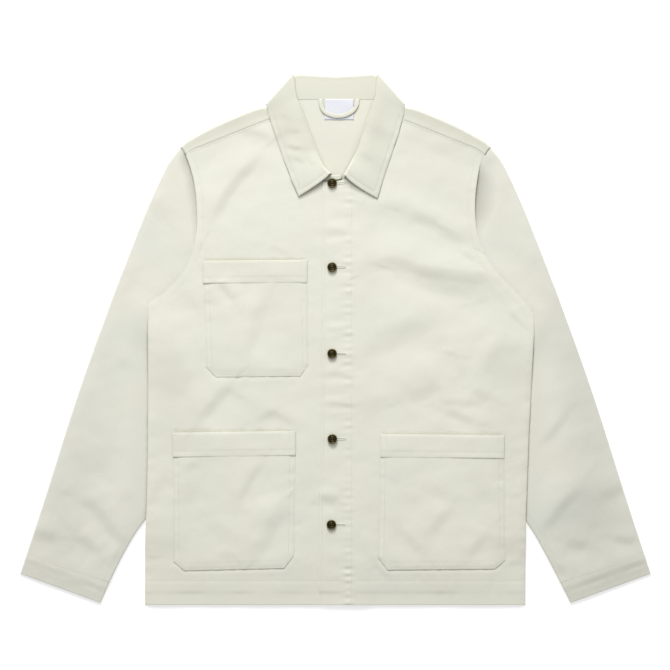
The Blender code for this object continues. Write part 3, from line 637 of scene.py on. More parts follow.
def front_height(side, x, y):
    """A front's face with its hem, edge, armhole and shoulder sewing."""
    height = front_base(side, x, y) + pocket_seams(side, x, y)
    seam = SIDE_SEAM[side]
    from_side = x_at(seam, y) - side * x
    at_side = side_share(side, y)
    height += (rounded(from_side, 1.6, 11.0) + rounded(from_side, 0.6, 2.0)) * at_side
    height += pucker(from_side, y, 3.0, 0.16, 21 + side, 22.0, 9.0) * at_side
    armhole, along = nearest(x, y, armhole_line(side))
    armhole = np.abs(armhole)
    height += groove(armhole, ARMHOLE_STITCH, 0.12, 1.5)
    upper = ramp(y, 110.0, 170.0)
    height += CAP_BULGE[side] * cap_share(side, y) * np.exp(-(armhole / 38.0) ** 2)
    height += (0.05 + 0.4 * upper) * rounded(armhole, 1.0, 2.0)
    height += pucker(armhole, along, 7.0, 0.08, 31 + side, 14.0)
    from_hem = y - HEM_Y
    height += 0.15 * ramp(from_hem, HEM_STITCH + 1.5, HEM_STITCH - 0.5)
    height += groove(from_hem, HEM_STITCH, 0.2, 1.5)
    roll = np.clip(0.6 + 0.5 * waves(x, y * 0.2, 60.0, 41 + side), 0.15, 1.3)
    height += -0.7 * ramp(from_hem, HEM_ROLL + 2.6, HEM_ROLL - 2.6) * roll
    height += pucker(from_hem, x, HEM_ROLL + 6.0, 0.16, 44 + side, 16.0, 12.0)
    height += rounded(from_hem, 0.3, 1.2)
    opening = side * x - x_at(FRONT_EDGE[side], y)
    if side == RIGHT:
        height += -0.9 * ramp(x, -20.5, -14.0)
    if side == LEFT:
        height += -0.8 * ramp(opening, 13.0, 0.0) + rounded(opening, 0.5, 1.5)
        height += 0.12 * ramp(x, PLACKET_X + 2.0, PLACKET_X - 1.5)
        height += groove(x, PLACKET_X, 0.05, 1.4) + groove(opening, FRONT_EDGE_STITCH, 0.06)
        height += pucker(x, y, PLACKET_X - 5.0, 0.30, 51, 11.0, 6.5)
        height += pucker(x, y, 2.0, 0.15, 53, 26.0, 16.0)
    from_shoulder = np.abs(nearest(x, y, on_side(smooth(SHOULDER_SEAM), side))[0])
    height += rounded(from_shoulder, 0.25, 2.5)
    return height


def sleeve_height(side, x, y):
    """A sleeve's upper face, away from its folds. Along the armhole it lies level with the
    front's edge, and its own edge goes under it; down the side it sinks below the body."""
    relief = creased(x, y, SLEEVE_CREASES)
    relief += 0.30 * waves(x, y, 90.0, 61 + side) + 0.09 * waves(x, y, 31.0, 64)
    relief += 0.035 * waves(x, y, 13.0, 66)
    outward = nearest(x, y, body_edge(side))[0] * side
    beside = ramp(outward, 42.0, 3.0) * ramp(y, -322.0, -285.0)
    level = front_base(side, x, y) - 0.1
    sunk = side_share(side, y)
    height = SLEEVE_TOP + relief
    low = TUCK_TOP + 1.5 * ramp(outward, 0.3, 2.4)
    height += (level + (low - level) * sunk - height) * beside
    height += -0.25 * ramp(outward, 7.0, 0.5) * beside * (1.0 - sunk)
    height += -0.8 * ramp(outward, 0.0, -3.0) * (1.0 - sunk)
    height += 0.3 * ramp(y, 250.0, 268.0) * np.exp(-(outward / 9.0) ** 2)
    depth, reach = CAP_TROUGH[side]
    outward = np.abs(outward)
    height += -depth * cap_share(side, y) * np.exp(-(outward / reach) ** 1.5)
    height += CAP_SWELL[side] * cap_share(side, y) * np.exp(-((outward - 34.0) / 15.0) ** 2)
    from_cuff = cuff_distance(side, x, y)
    height += 0.25 * ramp(from_cuff, CUFF_STITCH + 1.5, CUFF_STITCH - 0.5)
    height += groove(from_cuff, CUFF_STITCH, 0.3, 1.4)
    roll = 0.5 + 0.5 * waves(x, y, 55.0, 71 + side)
    height += groove(from_cuff, CUFF_ROLL, 0.7, 3.0) * roll
    height += -2.1 * ramp(from_cuff, 34.0, -4.0) + rounded(from_cuff, 0.3, 1.2)
    return np.maximum(height, 2 * WALL + 0.2)


def cap_share(side, y):
    """1 along the upper armhole, where the sleeve's head sinks beside the body, else 0."""
    low, full, last, top = CAP_SPAN[side]
    return ramp(y, low, full) * ramp(y, top, last)


def cuff_distance(side, x, y):
    """How far points lie up the sleeve from the cuff's edge."""
    outer, inner = np.array(CUFF_OUTER), np.array(CUFF_INNER)
    along = (inner - outer) / np.linalg.norm(inner - outer)
    return (side * x - outer[0]) * along[1] - (y - outer[1]) * along[0]


# ==== Materials ================================================================================
def linear(hex_colour):
    """An sRGB hex colour as linear RGBA."""
    parts = [int(hex_colour[i:i + 2], 16) / 255 for i in (1, 3, 5)]
    return [p / 12.92 if p <= 0.04045 else ((p + 0.055) / 1.055) ** 2.4 for p in parts] + [1.0]


def add(tree, kind, settings=None, links=None):
    """A node with its settings and its input links: {input: (node, output)} or a value."""
    node = tree.nodes.new(kind)
    for name, value in (settings or {}).items():
        setattr(node, name, value)
    for socket, source in (links or {}).items():
        if isinstance(source, tuple) and isinstance(source[0], bpy.types.Node):
            tree.links.new(source[0].outputs[source[1]], node.inputs[socket])
        else:
            node.inputs[socket].default_value = source
    return node


def new_material(name, roughness, metallic=0.0):
    """An empty material and its shader, with the values that are the same all over it."""
    material = bpy.data.materials.new(name)
    material.use_nodes = True
    tree = material.node_tree
    shader = tree.nodes["Principled BSDF"]
    shader.inputs["Roughness"].default_value = roughness
    shader.inputs["Metallic"].default_value = metallic
    return material, tree, shader


def canvas(name, shade, warm_shade, turn=0.0):
    """Undyed cotton canvas, plain woven and laundered once: matt, faintly slubbed, and warmer
    in soft patches, with a nap that lifts its edges. Its colour also carries painted light
    and shade."""
    material, tree, shader = new_material(name, 0.88)
    shader.inputs["Sheen Weight"].default_value = 0.12
    shader.inputs["Sheen Roughness"].default_value = 0.45
    shader.inputs["Specular IOR Level"].default_value = 0.25
    place = add(tree, "ShaderNodeTexCoord")
    turned = add(tree, "ShaderNodeMapping",
                 links={"Vector": (place, "Object"), "Rotation": (0.0, 0.0, turn)})
    patches = add(tree, "ShaderNodeTexNoise",
                  links={"Vector": (turned, "Vector"), "Scale": 9.0, "Detail": 2.0})
    slubs = add(tree, "ShaderNodeTexNoise",
                links={"Vector": (turned, "Vector"), "Scale": 420.0, "Detail": 2.0})
    tone = add(tree, "ShaderNodeMapRange",
               links={"Value": (patches, "Fac"), "From Min": 0.35, "From Max": 0.68})
    ground = add(tree, "ShaderNodeMix", {"data_type": "RGBA"},
                 {"Factor": (tone, "Result"), 6: linear(shade), 7: linear(warm_shade)})
    fleck = add(tree, "ShaderNodeMapRange",
                links={"Value": (slubs, "Fac"), "From Min": 0.3, "From Max": 0.7,
                       "To Min": 0.985, "To Max": 1.012})
    # Painted light and shade, per point: a tone about 1 that scales the cloth's colour.
    painted_tone = add(tree, "ShaderNodeAttribute", {"attribute_name": "painted_tone"})
    tint = add(tree, "ShaderNodeMath", {"operation": "MULTIPLY"},
               {0: (fleck, "Result"), 1: (painted_tone, "Fac")})
    pale = add(tree, "ShaderNodeVectorMath", {"operation": "SCALE"},
               {0: (ground, 2), "Scale": (tint, "Value")})
    # Painted shade: down in the seams and folds and under raised edges, where shade falls, an
    # occlusion node darkens the colour towards a deeper olive.
    painted_shade_occlusion = add(tree, "ShaderNodeAmbientOcclusion", {"samples": 6}, {"Distance": 0.022})
    depth = add(tree, "ShaderNodeMapRange",
                links={"Value": (painted_shade_occlusion, "AO"), "From Min": 0.05, "From Max": 0.74})
    colour = add(tree, "ShaderNodeMix", {"data_type": "RGBA"},
                 {"Factor": (depth, "Result"), 6: linear("#a9a88c"), 7: (pale, 0)})
    tree.links.new(colour.outputs[2], shader.inputs["Base Color"])
    # Warp and weft of 0.7 mm threads, drawn at 1.5 mm, the finest that shows.
    threads = []
    for direction in ("X", "Y"):
        wave = add(tree, "ShaderNodeTexWave", {"bands_direction": direction},
                   {"Vector": (turned, "Vector"), "Scale": 105.0, "Distortion": 1.2,
                    "Detail": 2.0, "Detail Scale": 1.5})
        threads.append(wave)
    weave = add(tree, "ShaderNodeMath", {"operation": "MULTIPLY"},
                {0: (threads[0], "Fac"), 1: (threads[1], "Fac")})
    rough = add(tree, "ShaderNodeMath", {"operation": "MULTIPLY_ADD"},
                {0: (slubs, "Fac"), 1: 1.3, 2: (weave, "Value")})
    bump = add(tree, "ShaderNodeBump", links={"Strength": 0.22, "Distance": 0.0001,
                                              "Height": (rough, "Value")})
    tree.links.new(bump.outputs["Normal"], shader.inputs["Normal"])
    return material


def thread():
    """Cotton sewing thread, a shade darker than the cloth that it sinks into."""
    material, tree, shader = new_material("cotton_thread", 0.75)
    place = add(tree, "ShaderNodeTexCoord")
    twist = add(tree, "ShaderNodeTexNoise",
                links={"Vector": (place, "Object"), "Scale": 900.0, "Detail": 1.0})
    colour = add(tree, "ShaderNodeMix", {"data_type": "RGBA"},
                 {"Factor": (twist, "Fac"), 6: linear("#d6d6c6"), 7: linear("#e2e2d4")})
    tree.links.new(colour.outputs[2], shader.inputs["Base Color"])
    return material


def label_tape():
    """Woven polyester tape: white, smooth and a little bright."""
    material, tree, shader = new_material("woven_label_tape", 0.5)
    place = add(tree, "ShaderNodeTexCoord")
    weft = add(tree, "ShaderNodeTexWave", {"bands_direction": "Y"},
               {"Vector": (place, "Object"), "Scale": 260.0, "Distortion": 0.4})
    colour = add(tree, "ShaderNodeMix", {"data_type": "RGBA"},
                 {"Factor": (weft, "Fac"), 6: linear("#dcdee5"), 7: linear("#e4e6ec")})
    tree.links.new(colour.outputs[2], shader.inputs["Base Color"])
    bump = add(tree, "ShaderNodeBump", links={"Strength": 0.2, "Distance": 0.00005,
                                              "Height": (weft, "Fac")})
    tree.links.new(bump.outputs["Normal"], shader.inputs["Normal"])
    return material


def antique_brass():
    """Stamped brass, darkened and rubbed back: near black in its rings, brown-gold on the
    raised parts."""
    material, tree, shader = new_material("antiqued_brass", 0.42, 1.0)
    place = add(tree, "ShaderNodeTexCoord")
    tarnish = add(tree, "ShaderNodeTexNoise",
                  links={"Vector": (place, "Object"), "Scale": 700.0, "Detail": 4.0})
    shape = add(tree, "ShaderNodeNewGeometry")
    worn = add(tree, "ShaderNodeMapRange",
               links={"Value": (shape, "Pointiness"), "From Min": 0.49, "From Max": 0.56})
    rubbed = add(tree, "ShaderNodeMath", {"operation": "MULTIPLY"},
                 {0: (worn, "Result"), 1: (tarnish, "Fac")})
    colour = add(tree, "ShaderNodeMix", {"data_type": "RGBA"},
                 {"Factor": (rubbed, "Value"), 6: linear("#2f2b1d"), 7: linear("#857748")})
    tree.links.new(colour.outputs[2], shader.inputs["Base Color"])
    bump = add(tree, "ShaderNodeBump", links={"Strength": 0.3, "Distance": 0.00008,
                                              "Height": (tarnish, "Fac")})
    tree.links.new(bump.outputs["Normal"], shader.inputs["Normal"])
    return material


# ==== Meshes ===================================================================================
def add_piece(name, verts, faces, material, smooth_shaded=True):
    """An object from points in millimetres."""
    mesh = bpy.data.meshes.new(name)
    mesh.from_pydata((np.asarray(verts, float) * MILLIMETRE).tolist(), [], faces)
    mesh.materials.append(material)
    if smooth_shaded:
        mesh.shade_smooth()
    piece = bpy.data.objects.new(name, mesh)
    bpy.context.scene.collection.objects.link(piece)
    return piece


def edit(piece, change):
    """Gives a piece's mesh, in its editable form, to a function that changes it."""
    mesh = bmesh.new()
    mesh.from_mesh(piece.data)
    change(mesh)
    mesh.to_mesh(piece.data)
    mesh.free()


def remove_loose(mesh):
    """Deletes the points that no face uses."""
    bmesh.ops.delete(mesh, geom=[v for v in mesh.verts if not v.link_faces], context="VERTS")


def face_outward(mesh):
    """Turns a closed mesh's faces outward."""
    bmesh.ops.recalc_face_normals(mesh, faces=mesh.faces)


def add_closed(name, verts, faces, material):
    """A closed piece, its faces turned outward."""
    piece = add_piece(name, verts, faces, material)
    edit(piece, face_outward)
    return piece


def grid_faces(rows, columns, ring=False, closed=False, holes=None):
    """Quads of a grid's point numbers, row by row. A ring's last column meets its first one,
    and a closed grid's last row meets its first one."""
    numbers = np.arange(rows * columns).reshape(rows, columns)
    beside = np.roll(numbers, -1, axis=1)
    quads = np.stack([numbers, beside, np.roll(beside, -1, axis=0),
                      np.roll(numbers, -1, axis=0)], axis=-1)
    if not closed:
        quads = quads[:-1]
    if not ring:
        quads = quads[:, :-1]
    if holes is not None:
        quads = quads[~holes]
    return quads.reshape(-1, 4)


def raised(flat, height):
    """A flat grid of (x, y) with a height at each of its points."""
    x, y = flat[..., 0], flat[..., 1]
    return np.dstack([x, y, height(x, y)])


def set_painted_tone(piece, tones):
    """Gives a piece's points the painted light and shade that its canvas takes up."""
    painted_tone = piece.data.attributes.new("painted_tone", "FLOAT", "POINT")
    painted_tone.data.foreach_set("value", tones)


def cloth(name, grid, material, wall=WALL, offset=-1.0, up=True, ring=False, holes=None):
    """A shell of cloth from a grid of points, its face up or down, with its thickness."""
    faces = grid_faces(*grid.shape[:2], ring=ring, holes=holes)
    points = grid.reshape(-1, 3)
    corners = points[faces]
    lie = np.cross(corners[:, 1] - corners[:, 0], corners[:, 3] - corners[:, 0])[:, 2]
    top = corners[:, :, 2].mean(1) > np.median(points[:, 2]) - 1e-6 if ring else slice(None)
    if (np.median(lie[top]) > 0) != up:
        faces = faces[:, ::-1]
    piece = add_piece(name, points, faces.tolist(), material)
    # Painted light and shade for each point, which the canvas takes up as colour
    set_painted_tone(piece, painted_tone_at(points[:, 0], points[:, 1]))
    shell = piece.modifiers.new("cloth_thickness", "SOLIDIFY")
    shell.thickness = wall * MILLIMETRE
    shell.offset = offset
    shell.use_even_offset = False
    return piece


def finish(piece, node=None):
    """Puts a piece on the jacket's body, in place of its solid where it has one."""
    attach(piece, "root")
    if node:
        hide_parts(node)
    return piece


def stitch_form():
    """One stitch: a point at each end and two diamonds between, 10 points, 16 triangles."""
    half, wide, thick = STITCH_LENGTH / 2, STITCH_HALF_WIDTH, STITCH_HALF_THICKNESS
    diamond = [(wide, 0), (0, thick), (-wide, 0), (0, -thick)]
    points = [(-half, 0, -0.12)]
    points += [(x, dy, dz) for x in (-half * 0.6, half * 0.6) for dy, dz in diamond]
    points += [(half, 0, -0.12)]
    tris = []
    for k in range(4):
        nxt = (k + 1) % 4
        tris += [(0, 1 + nxt, 1 + k), (1 + k, 1 + nxt, 5 + nxt), (1 + k, 5 + nxt, 5 + k),
                 (9, 5 + k, 5 + nxt)]
    return np.array(points), np.array(tris)


def stitches(name, lines, height, material):
    """Rows of sewing thread along lines of (x, y), sunk into a face of that height."""
    shape, tris = stitch_form()
    verts, faces = [], []
    for line in lines:
        line = np.asarray(line, float)
        count = max(int(lengths(line)[-1] / STITCH_PITCH), 1)
        middles = at(line, (np.arange(count) + 0.5) / count)
        along = at(line, np.clip((np.arange(count) + 0.6) / count, 0, 1)) - middles
        along /= np.linalg.norm(along, axis=1, keepdims=True)
        ahead = middles + along
        z = height(middles[:, 0], middles[:, 1])
        tilt = height(ahead[:, 0], ahead[:, 1]) - z
        for (mx, my), (ax, ay), mz, rise in zip(middles, along, z, tilt):
            x = mx + shape[:, 0] * ax - shape[:, 1] * ay
            y = my + shape[:, 0] * ay + shape[:, 1] * ax
            faces.append(tris + len(verts) * len(shape))
            verts.append(np.column_stack([x, y, mz + 0.03 + shape[:, 2] + shape[:, 0] * rise]))
    return finish(add_piece(name, np.vstack(verts), np.vstack(faces).tolist(), material))


def make_panel(name, flat, face, lines, material, thread_material, wall=WALL):
    """A sewn panel: a shell on a flat grid at a face's height, and its rows of stitches."""
    grid = raised(flat, face)
    piece = finish(cloth(name, grid, material, wall=wall), name)
    sewing = stitches(name + "_stitches", lines, face, thread_material)


# ==== Fronts ===================================================================================
# Places of close rows and columns, as distances from a panel's edges: at any cut edge; above
# a front's hem, where its stitches and the lower pockets' bottom edges are; below its
# shoulder seam; and in from the left front's edge, up to its facing's stitches
EDGE = (0.12, 0.5, 1.1, 1.9, 2.9, 4.2, 5.6, 7.2, 8.4, 9.6, 10.8, 12.6)
HEM_ROWS = (0.15, 0.7, 1.5, 2.5, 4.5, 7.5, 11.0, 13.5, 16.0, 18.0, 20.0, 22.5, 25.5, 28.5, 31.5,
            33.0, 34.0, 35.0, 36.0, 37.5, 39.5, *np.linspace(41.0, 56.6, 14), 58.0, 60.0)
SHOULDER_ROWS = (0.15, 0.8, 1.7, 2.8, 4.5, 7.0)
FACING_COLUMNS = (0.12, 0.5, 1.2, 2.2, 3.4, 4.6, *np.linspace(6.0, 36.0, 11), 38.5, 40.5, 42.0,
                  43.2, 44.4, 46.0, 48.5, 51.0)


def front_plan(side):
    """A flat grid over a front: its rows are level up to the underarm, and then close up
    towards the shoulder seam and the neckline."""
    underarm = UNDERARM[side][1]
    level = HEM_Y + stations(underarm - HEM_Y, 2.9, HEM_ROWS) * (underarm - HEM_Y)
    upper = stations(lengths(smooth(ARMHOLE[side]))[-1], 3.0, (), SHOULDER_ROWS)
    opening = on_side(FRONT_EDGE[side], side)
    top = on_side(np.vstack([smooth(SHOULDER_SEAM), smooth(NECKLINE[side])[1:]]), side)
    hem = np.array([(side * SIDE_SEAM[side][-1][0], HEM_Y), opening[0]])
    ends = FACING_COLUMNS if side == LEFT else EDGE[:7]
    across = stations(lengths(hem)[-1], 3.0, EDGE, ends)
    outer = np.vstack([np.column_stack([side * x_at(SIDE_SEAM[side], level), level]),
                       at(armhole_line(side)[::-1], upper)[1:]])
    edge_y = np.concatenate([level, underarm + (opening[-1][1] - underarm) * upper[1:]])
    inner = np.column_stack([side * x_at(FRONT_EDGE[side], edge_y), edge_y])
    return coons(at(hem, across), at(top, across), outer, inner, ease=2.2)


def front_lines(side):
    """A front's rows of stitches: its hem and armhole, and the left one's facing and edge."""
    ends = (side * 276.5, side * FRONT_EDGE[side][0][0] + side * 2.0)
    lines = [[(x, HEM_Y + HEM_STITCH) for x in ends],
             pushed_left(armhole_line(side), -side * ARMHOLE_STITCH)]
    if side == LEFT:
        edge = at(smooth(FRONT_EDGE[LEFT]) + (FRONT_EDGE_STITCH, 0), (0.004, 0.3, 0.6, 0.99))
        lines += [[(PLACKET_X, HEM_Y + 2.0), (PLACKET_X, PLACKET_TOP)], edge]
    return lines


def make_front(side, name, material, thread_material):
    """One front, on the back."""
    make_panel(name, front_plan(side), partial(front_height, side), front_lines(side),
               material, thread_material)


# ==== Back =====================================================================================
YOKE_COLUMNS, NECK_COLUMNS = 44, 36     # of the back's grid, over a shoulder and in the neck
TURN_REACH = 3.0        # how far the cloth bows out where it turns over the shoulder
YOKE_DEPTH = 28.0       # from the shoulder's fold to the forward seam
# Shares of that depth at which the yoke has a row, close at the seam
YOKE_ROWS = (0.06, 0.14, 0.24, 0.36, 0.5, 0.64, 0.76, 0.85, 0.91, 0.95, 0.98, 0.995, 1.0)


def fold_base(side):
    """Points along the shoulder fold, where the back turns over, and the way out from it."""
    line = on_side(divide(SHOULDER_FOLD, YOKE_COLUMNS), side)
    outward = leftward(line) * -side
    first = line[1] - line[0]
    line[0] = line[0] + 1.2 * first / np.linalg.norm(first)     # clear of the sleeve's tip
    return line, outward


def back_face(x, y):
    """The back's flat part; the inside of the neck lifts towards the collar's stand."""
    rise = INSIDE_RISE * (1.0 + ramp(y, 302.0, 278.0))
    return back_bottom(x, y) + rise * ramp(y, 205.0, 236.0) * ramp(np.abs(x), 112.0, 88.0)


def back_side(side, shoulder_point):
    """The back's edge up its side seam and, under the front, its armhole. The corner between
    them is left out, so that the line never doubles back."""
    side_edge = side_line(side)[::-1][:-5] - (side * 0.4, 0)
    armhole = pushed_left(armhole_line(side)[::-1], side * 6.0)[11:]
    return np.vstack([side_edge, armhole, shoulder_point])


def back_plan(turned):
    """A flat grid over the back, up to the lines where its shoulders turn over."""
    neck_x = turned[LEFT][-1][0]
    neck = np.column_stack([np.linspace(-neck_x, neck_x, NECK_COLUMNS + 1)[1:-1],
                            np.full(NECK_COLUMNS - 1, BACK_NECK_Y)])
    top = np.vstack([turned[RIGHT], neck, turned[LEFT][::-1]])
    outlines = {side: back_side(side, turned[side][:1]) for side in SIDES}
    up = stations(lengths(outlines[LEFT])[-1], 6.5, (0.2, 1.0, 2.2, 4.0), (0.2, 0.8, 2.0, 4.0))
    left, right = (at(outlines[side], up) for side in SIDES)
    hem = at(np.array([right[0], left[0]]), np.linspace(0, 1, len(top)))
    return coons(hem, top, right, left)


def fold_row(turned, outward, angle):
    """The points at one angle of the half round that the back turns over a shoulder."""
    x, y = turned.T
    low, high = back_bottom(x, y), front_base(RIGHT, x, y)
    middle, radius = (low + high) / 2, (high - low) / 2
    out = turned + outward * TURN_REACH * math.sin(angle)
    return np.column_stack([out, middle - radius * math.cos(angle)])


def yoke_row(turned, seam, share):
    """The points at one share of the way from a shoulder's fold to the forward seam."""
    x, y = (turned + (seam - turned) * share).T
    from_seam = (1.0 - share) * YOKE_DEPTH
    z = front_base(RIGHT, x, y) + 0.3 * ramp(from_seam, 10.0, 4.0)
    z += groove(from_seam, SEAM_EDGE_STITCH, 0.1, 0.8) + rounded(from_seam, 0.3, 1.3)
    return np.column_stack([x, y, z])


def over_shoulders(rows):
    """One row of the back's grid over both shoulders; it is empty across the neck."""
    left, right = rows
    return np.vstack([right, np.zeros((NECK_COLUMNS - 1, 3)), left[::-1]])


def make_back(material, outer_material, thread_material):
    """The back: down on the surface, and over the shoulders to the forward seams. It shows
    its inner side in the neck and its outer side on the shoulders."""
    base = {side: fold_base(side) for side in SIDES}
    turned = {side: line - TURN_REACH * outward for side, (line, outward) in base.items()}
    seams = {side: on_side(divide(SHOULDER_SEAM, YOKE_COLUMNS), side) for side in SIDES}
    flat = raised(back_plan(turned), back_face)
    rows = [over_shoulders([fold_row(turned[side], base[side][1], angle) for side in SIDES])
            for angle in np.radians(np.arange(15.0, 181.0, 15.0))]
    rows += [over_shoulders([yoke_row(turned[side], seams[side], share) for side in SIDES])
             for share in YOKE_ROWS]
    grid = np.concatenate([flat, np.array(rows)])
    holes = np.zeros((grid.shape[0] - 1, grid.shape[1] - 1), bool)
    holes[flat.shape[0] - 1:, YOKE_COLUMNS:-YOKE_COLUMNS] = True
    piece = cloth("back", grid, material, up=False, holes=holes)
    piece.data.materials.append(outer_material)
    for face in piece.data.polygons[(flat.shape[0] - 1) * (flat.shape[1] - 1):]:
        face.material_index = 1
    edit(piece, remove_loose)
    piece.data.shade_smooth()
    finish(piece, "back")
    lines = [pushed_left(on_side(smooth(SHOULDER_SEAM), side), side * SEAM_EDGE_STITCH)[4:-4]
             for side in SIDES]
    sewing = stitches("back_stitches", lines, lambda x, y: front_base(RIGHT, x, y) + 0.4,
                      thread_material)


# ==== Sleeves ==================================================================================
MOUTH_ROWS, ARM_RINGS, ARMHOLE_ROWS = 12, 12, 22
SLEEVE_UNDER = 5.0      # how far the sleeve reaches under the front along the armhole
# Places of close rows and columns, in cells of the coarse grid: up from the cuff, and in
# from a fold
CUFF_ROWS = np.array([0.9, 0.8, 0.72, 0.66, 0.6, 0.5, 0.42, 0.36, 0.3, 0.22, 0.14, 0.08, 0.04,
                      0.015, 0.004, 0])
FOLD_COLUMNS = np.array([0, 0.015, 0.04, 0.08, 0.13, 0.2, 0.3, 0.45, 0.65, 0.9, 1.2])


def sleeve_plan(side):
    """A coarse grid over a flat sleeve: rows from the armhole to the cuff, from its outer
    fold to its inner one."""
    tip = np.array([[side * SHOULDER_TIP[0], SHOULDER_TIP[1]]])
    armhole = on_side(divide(ARMHOLE[side], ARMHOLE_ROWS), side)
    seam = pushed_left(np.vstack([tip, armhole]), -side * SLEEVE_UNDER)
    seam[0] = tip[0] + (side * -2.3, 2.3)
    seam[-1] = armhole[-1] - (side * SLEEVE_UNDER, 0)
    mouth = at(smooth(seam[:MOUTH_ROWS + 2], 12), np.linspace(0, 1, 15))
    under_table = [(side * seam[-1][0], seam[-1][1])] + list(UNDER_SLEEVE[side])
    inner = np.vstack([seam[MOUTH_ROWS + 1:],
                       on_side(divide(under_table, ARM_RINGS), side)[1:]])
    cap = on_side(divide(SLEEVE_CAP, len(inner) - 1 - ARM_RINGS), side)
    outer = np.vstack([mouth[:1], cap[1:], on_side(divide(OUTER_SLEEVE, ARM_RINGS), side)[1:]])
    cuff = at(np.array([outer[-1], inner[-1]]), lengths(mouth) / lengths(mouth)[-1])
    return evened(coons(mouth, cuff, outer, inner))


def fine_sleeve_plan(side):
    """The sleeve's grid, close at its mouth, its cuff, its folds and the armhole."""
    plan = sleeve_plan(side)
    rows, columns = plan.shape[0] - 1, plan.shape[1] - 1
    down = np.unique(np.concatenate([np.linspace(0, 0.5, 12), np.linspace(0, rows - 1, 196),
                                     rows - CUFF_ROWS]))
    at_armhole = np.unique(np.concatenate([FOLD_COLUMNS, np.linspace(0.32, 1.12, 23)]))
    across = np.concatenate([FOLD_COLUMNS, np.linspace(1.5, columns - 1.5, 40),
                             columns - at_armhole[::-1]])
    return resampled(plan, down, across)


def cuff_line(side):
    """The row of stitches round a cuff."""
    outer, inner = np.array(CUFF_OUTER), np.array(CUFF_INNER)
    up_sleeve = np.array([(inner - outer)[1], -(inner - outer)[0]])
    up_sleeve = up_sleeve / np.linalg.norm(up_sleeve) * CUFF_STITCH
    return on_side([outer + up_sleeve - (9.0, 3.0), inner + up_sleeve + (-8.0, 3.0)], side)


def make_sleeve(side, name, material, thread_material):
    """A flat tube of cloth. Its folds are half round and then nearly flat, and the inner one
    is firm along the armhole, where the front lies on it."""
    flat = fine_sleeve_plan(side)
    face = partial(sleeve_height, side)
    x, y, top = np.moveaxis(raised(flat, face), -1, 0)
    from_inner = np.hypot(x - x[:, -1:], y - y[:, -1:])
    from_fold = np.minimum(np.hypot(x - x[:, :1], y - y[:, :1]), from_inner)
    radius = top / 2
    inside = np.clip(from_fold, 0, radius)
    turn = np.sqrt(np.maximum(radius ** 2 - (radius - inside) ** 2, 0))
    firm = ramp(y, 15.0, 35.0) * (from_inner < 20.0)
    soft = 0.86 + 0.14 * np.maximum(ramp(from_fold, 0.0, 14.0), firm)
    upper = np.dstack([x, y, radius + turn * (2 * soft - 1)])
    lower = np.dstack([x, y, radius - turn])[:, 1:-1][:, ::-1]
    piece = cloth(name, np.concatenate([upper, lower], axis=1), material, ring=True)
    finish(piece, name)
    sewing = stitches(name + "_stitches", [cuff_line(side)], face, thread_material)


# ==== Pockets ==================================================================================
CORNER_REACH = 30.0     # within this of a pocket's bottom corners, a column goes through them


def pocket_height(name, x, y):
    """A patch pocket's face: it rises from its sewn rim, and its bottom stands off a little."""
    corners = POCKETS[name]
    inside, along = nearest(x, y, np.array(corners + corners[:1], float))
    inside = np.abs(inside)
    low = min(row[1] for row in corners)
    bottom = ramp(y, low + 42.0, low + 14.0) * BOTTOM_LIFT[name]
    rim = 0.25 + 0.4 * bottom
    height = front_base(POCKET_SIDE[name], x, y) + rim + (LAYER - rim) * ramp(inside, 0.0, 14.0)
    height += (0.10 + 0.25 * bottom) * ramp(inside, POCKET_STITCHES[1] + 1.6,
                                            POCKET_STITCHES[1] - 0.6)
    for place in POCKET_STITCHES:
        height += groove(inside, place, 0.08 + 0.10 * bottom, 1.2)
    height += (0.15 + 0.2 * bottom) * rounded(inside, 0.8, 1.4)
    height += pucker(inside, along, 6.0, 0.09, 81, 13.0)
    return height


def band_height(name, x, y):
    """A pocket band's face: its lower edge stands off the pocket as BAND_STANDS says."""
    corners = POCKETS[name]
    top = np.interp(x, (corners[0][0], corners[-1][0]), (corners[0][1], corners[-1][1]))
    below = top - y
    height = front_base(POCKET_SIDE[name], x, y) + 2 * LAYER - 0.5
    above_edge = BAND_HEIGHT[name] - below
    ends = np.minimum(x - corners[0][0], corners[-1][0] - x)
    height += groove(above_edge, BAND_STITCH, 0.15, 1.4)
    places, stands = np.array(BAND_STANDS[name]).T
    stand = np.interp(x, places, stands)
    height += (0.25 + stand) * rounded(above_edge, 1.0, 2.2)
    height += (stand - 0.65) * ramp(above_edge, 13.0, 0.0)
    height += rounded(below, 0.15, 2.0) + rounded(ends, 0.3, 1.6) + groove(ends, 1.8, 0.08)
    height += -0.3 * ramp(below, 4.0, 0.0) - 0.35 * ramp(ends, 8.0, 0.0)
    height += pucker(above_edge, x, BAND_STITCH - 3.0, 0.12, 91, 17.0)
    return height


def pocket_plan(corners):
    """A flat grid over a pocket or a band, close at its edges. Its corners run from the top
    left to the top right, round a bottom that may have cut-off corners."""
    corners = np.array(corners, float)
    left, right, bottom = corners[[1, 0]], corners[[-2, -1]], corners[1:-1]
    runs = lengths(bottom)
    from_start, from_end = np.round(runs[1:-1], 3), runs[-1] - runs[1:-1]
    across = stations(runs[-1], 3.0, [*EDGE, *from_start[from_start < CORNER_REACH]],
                      [*EDGE, *from_end[from_end < CORNER_REACH]])
    up = stations(lengths(left)[-1], 3.0, EDGE, EDGE)
    return coons(at(bottom, across), at(corners[[0, -1]], across), at(left, up), at(right, up))


def inset_line(corners, distance):
    """An open outline moved inwards; the outline runs anticlockwise."""
    corners = np.asarray(corners, float)
    moved = []
    for index, corner in enumerate(corners):
        before = corner - corners[index - 1] if index else corners[1] - corner
        after = corners[index + 1] - corner if index < len(corners) - 1 else before
        before, after = (v / np.linalg.norm(v) for v in (before, after))
        normals = [np.array([-v[1], v[0]]) for v in (before, after)]
        middle = normals[0] + normals[1]
        middle /= np.linalg.norm(middle)
        moved.append(corner + middle * distance / max(middle @ normals[0], 0.3))
    return np.array(moved)


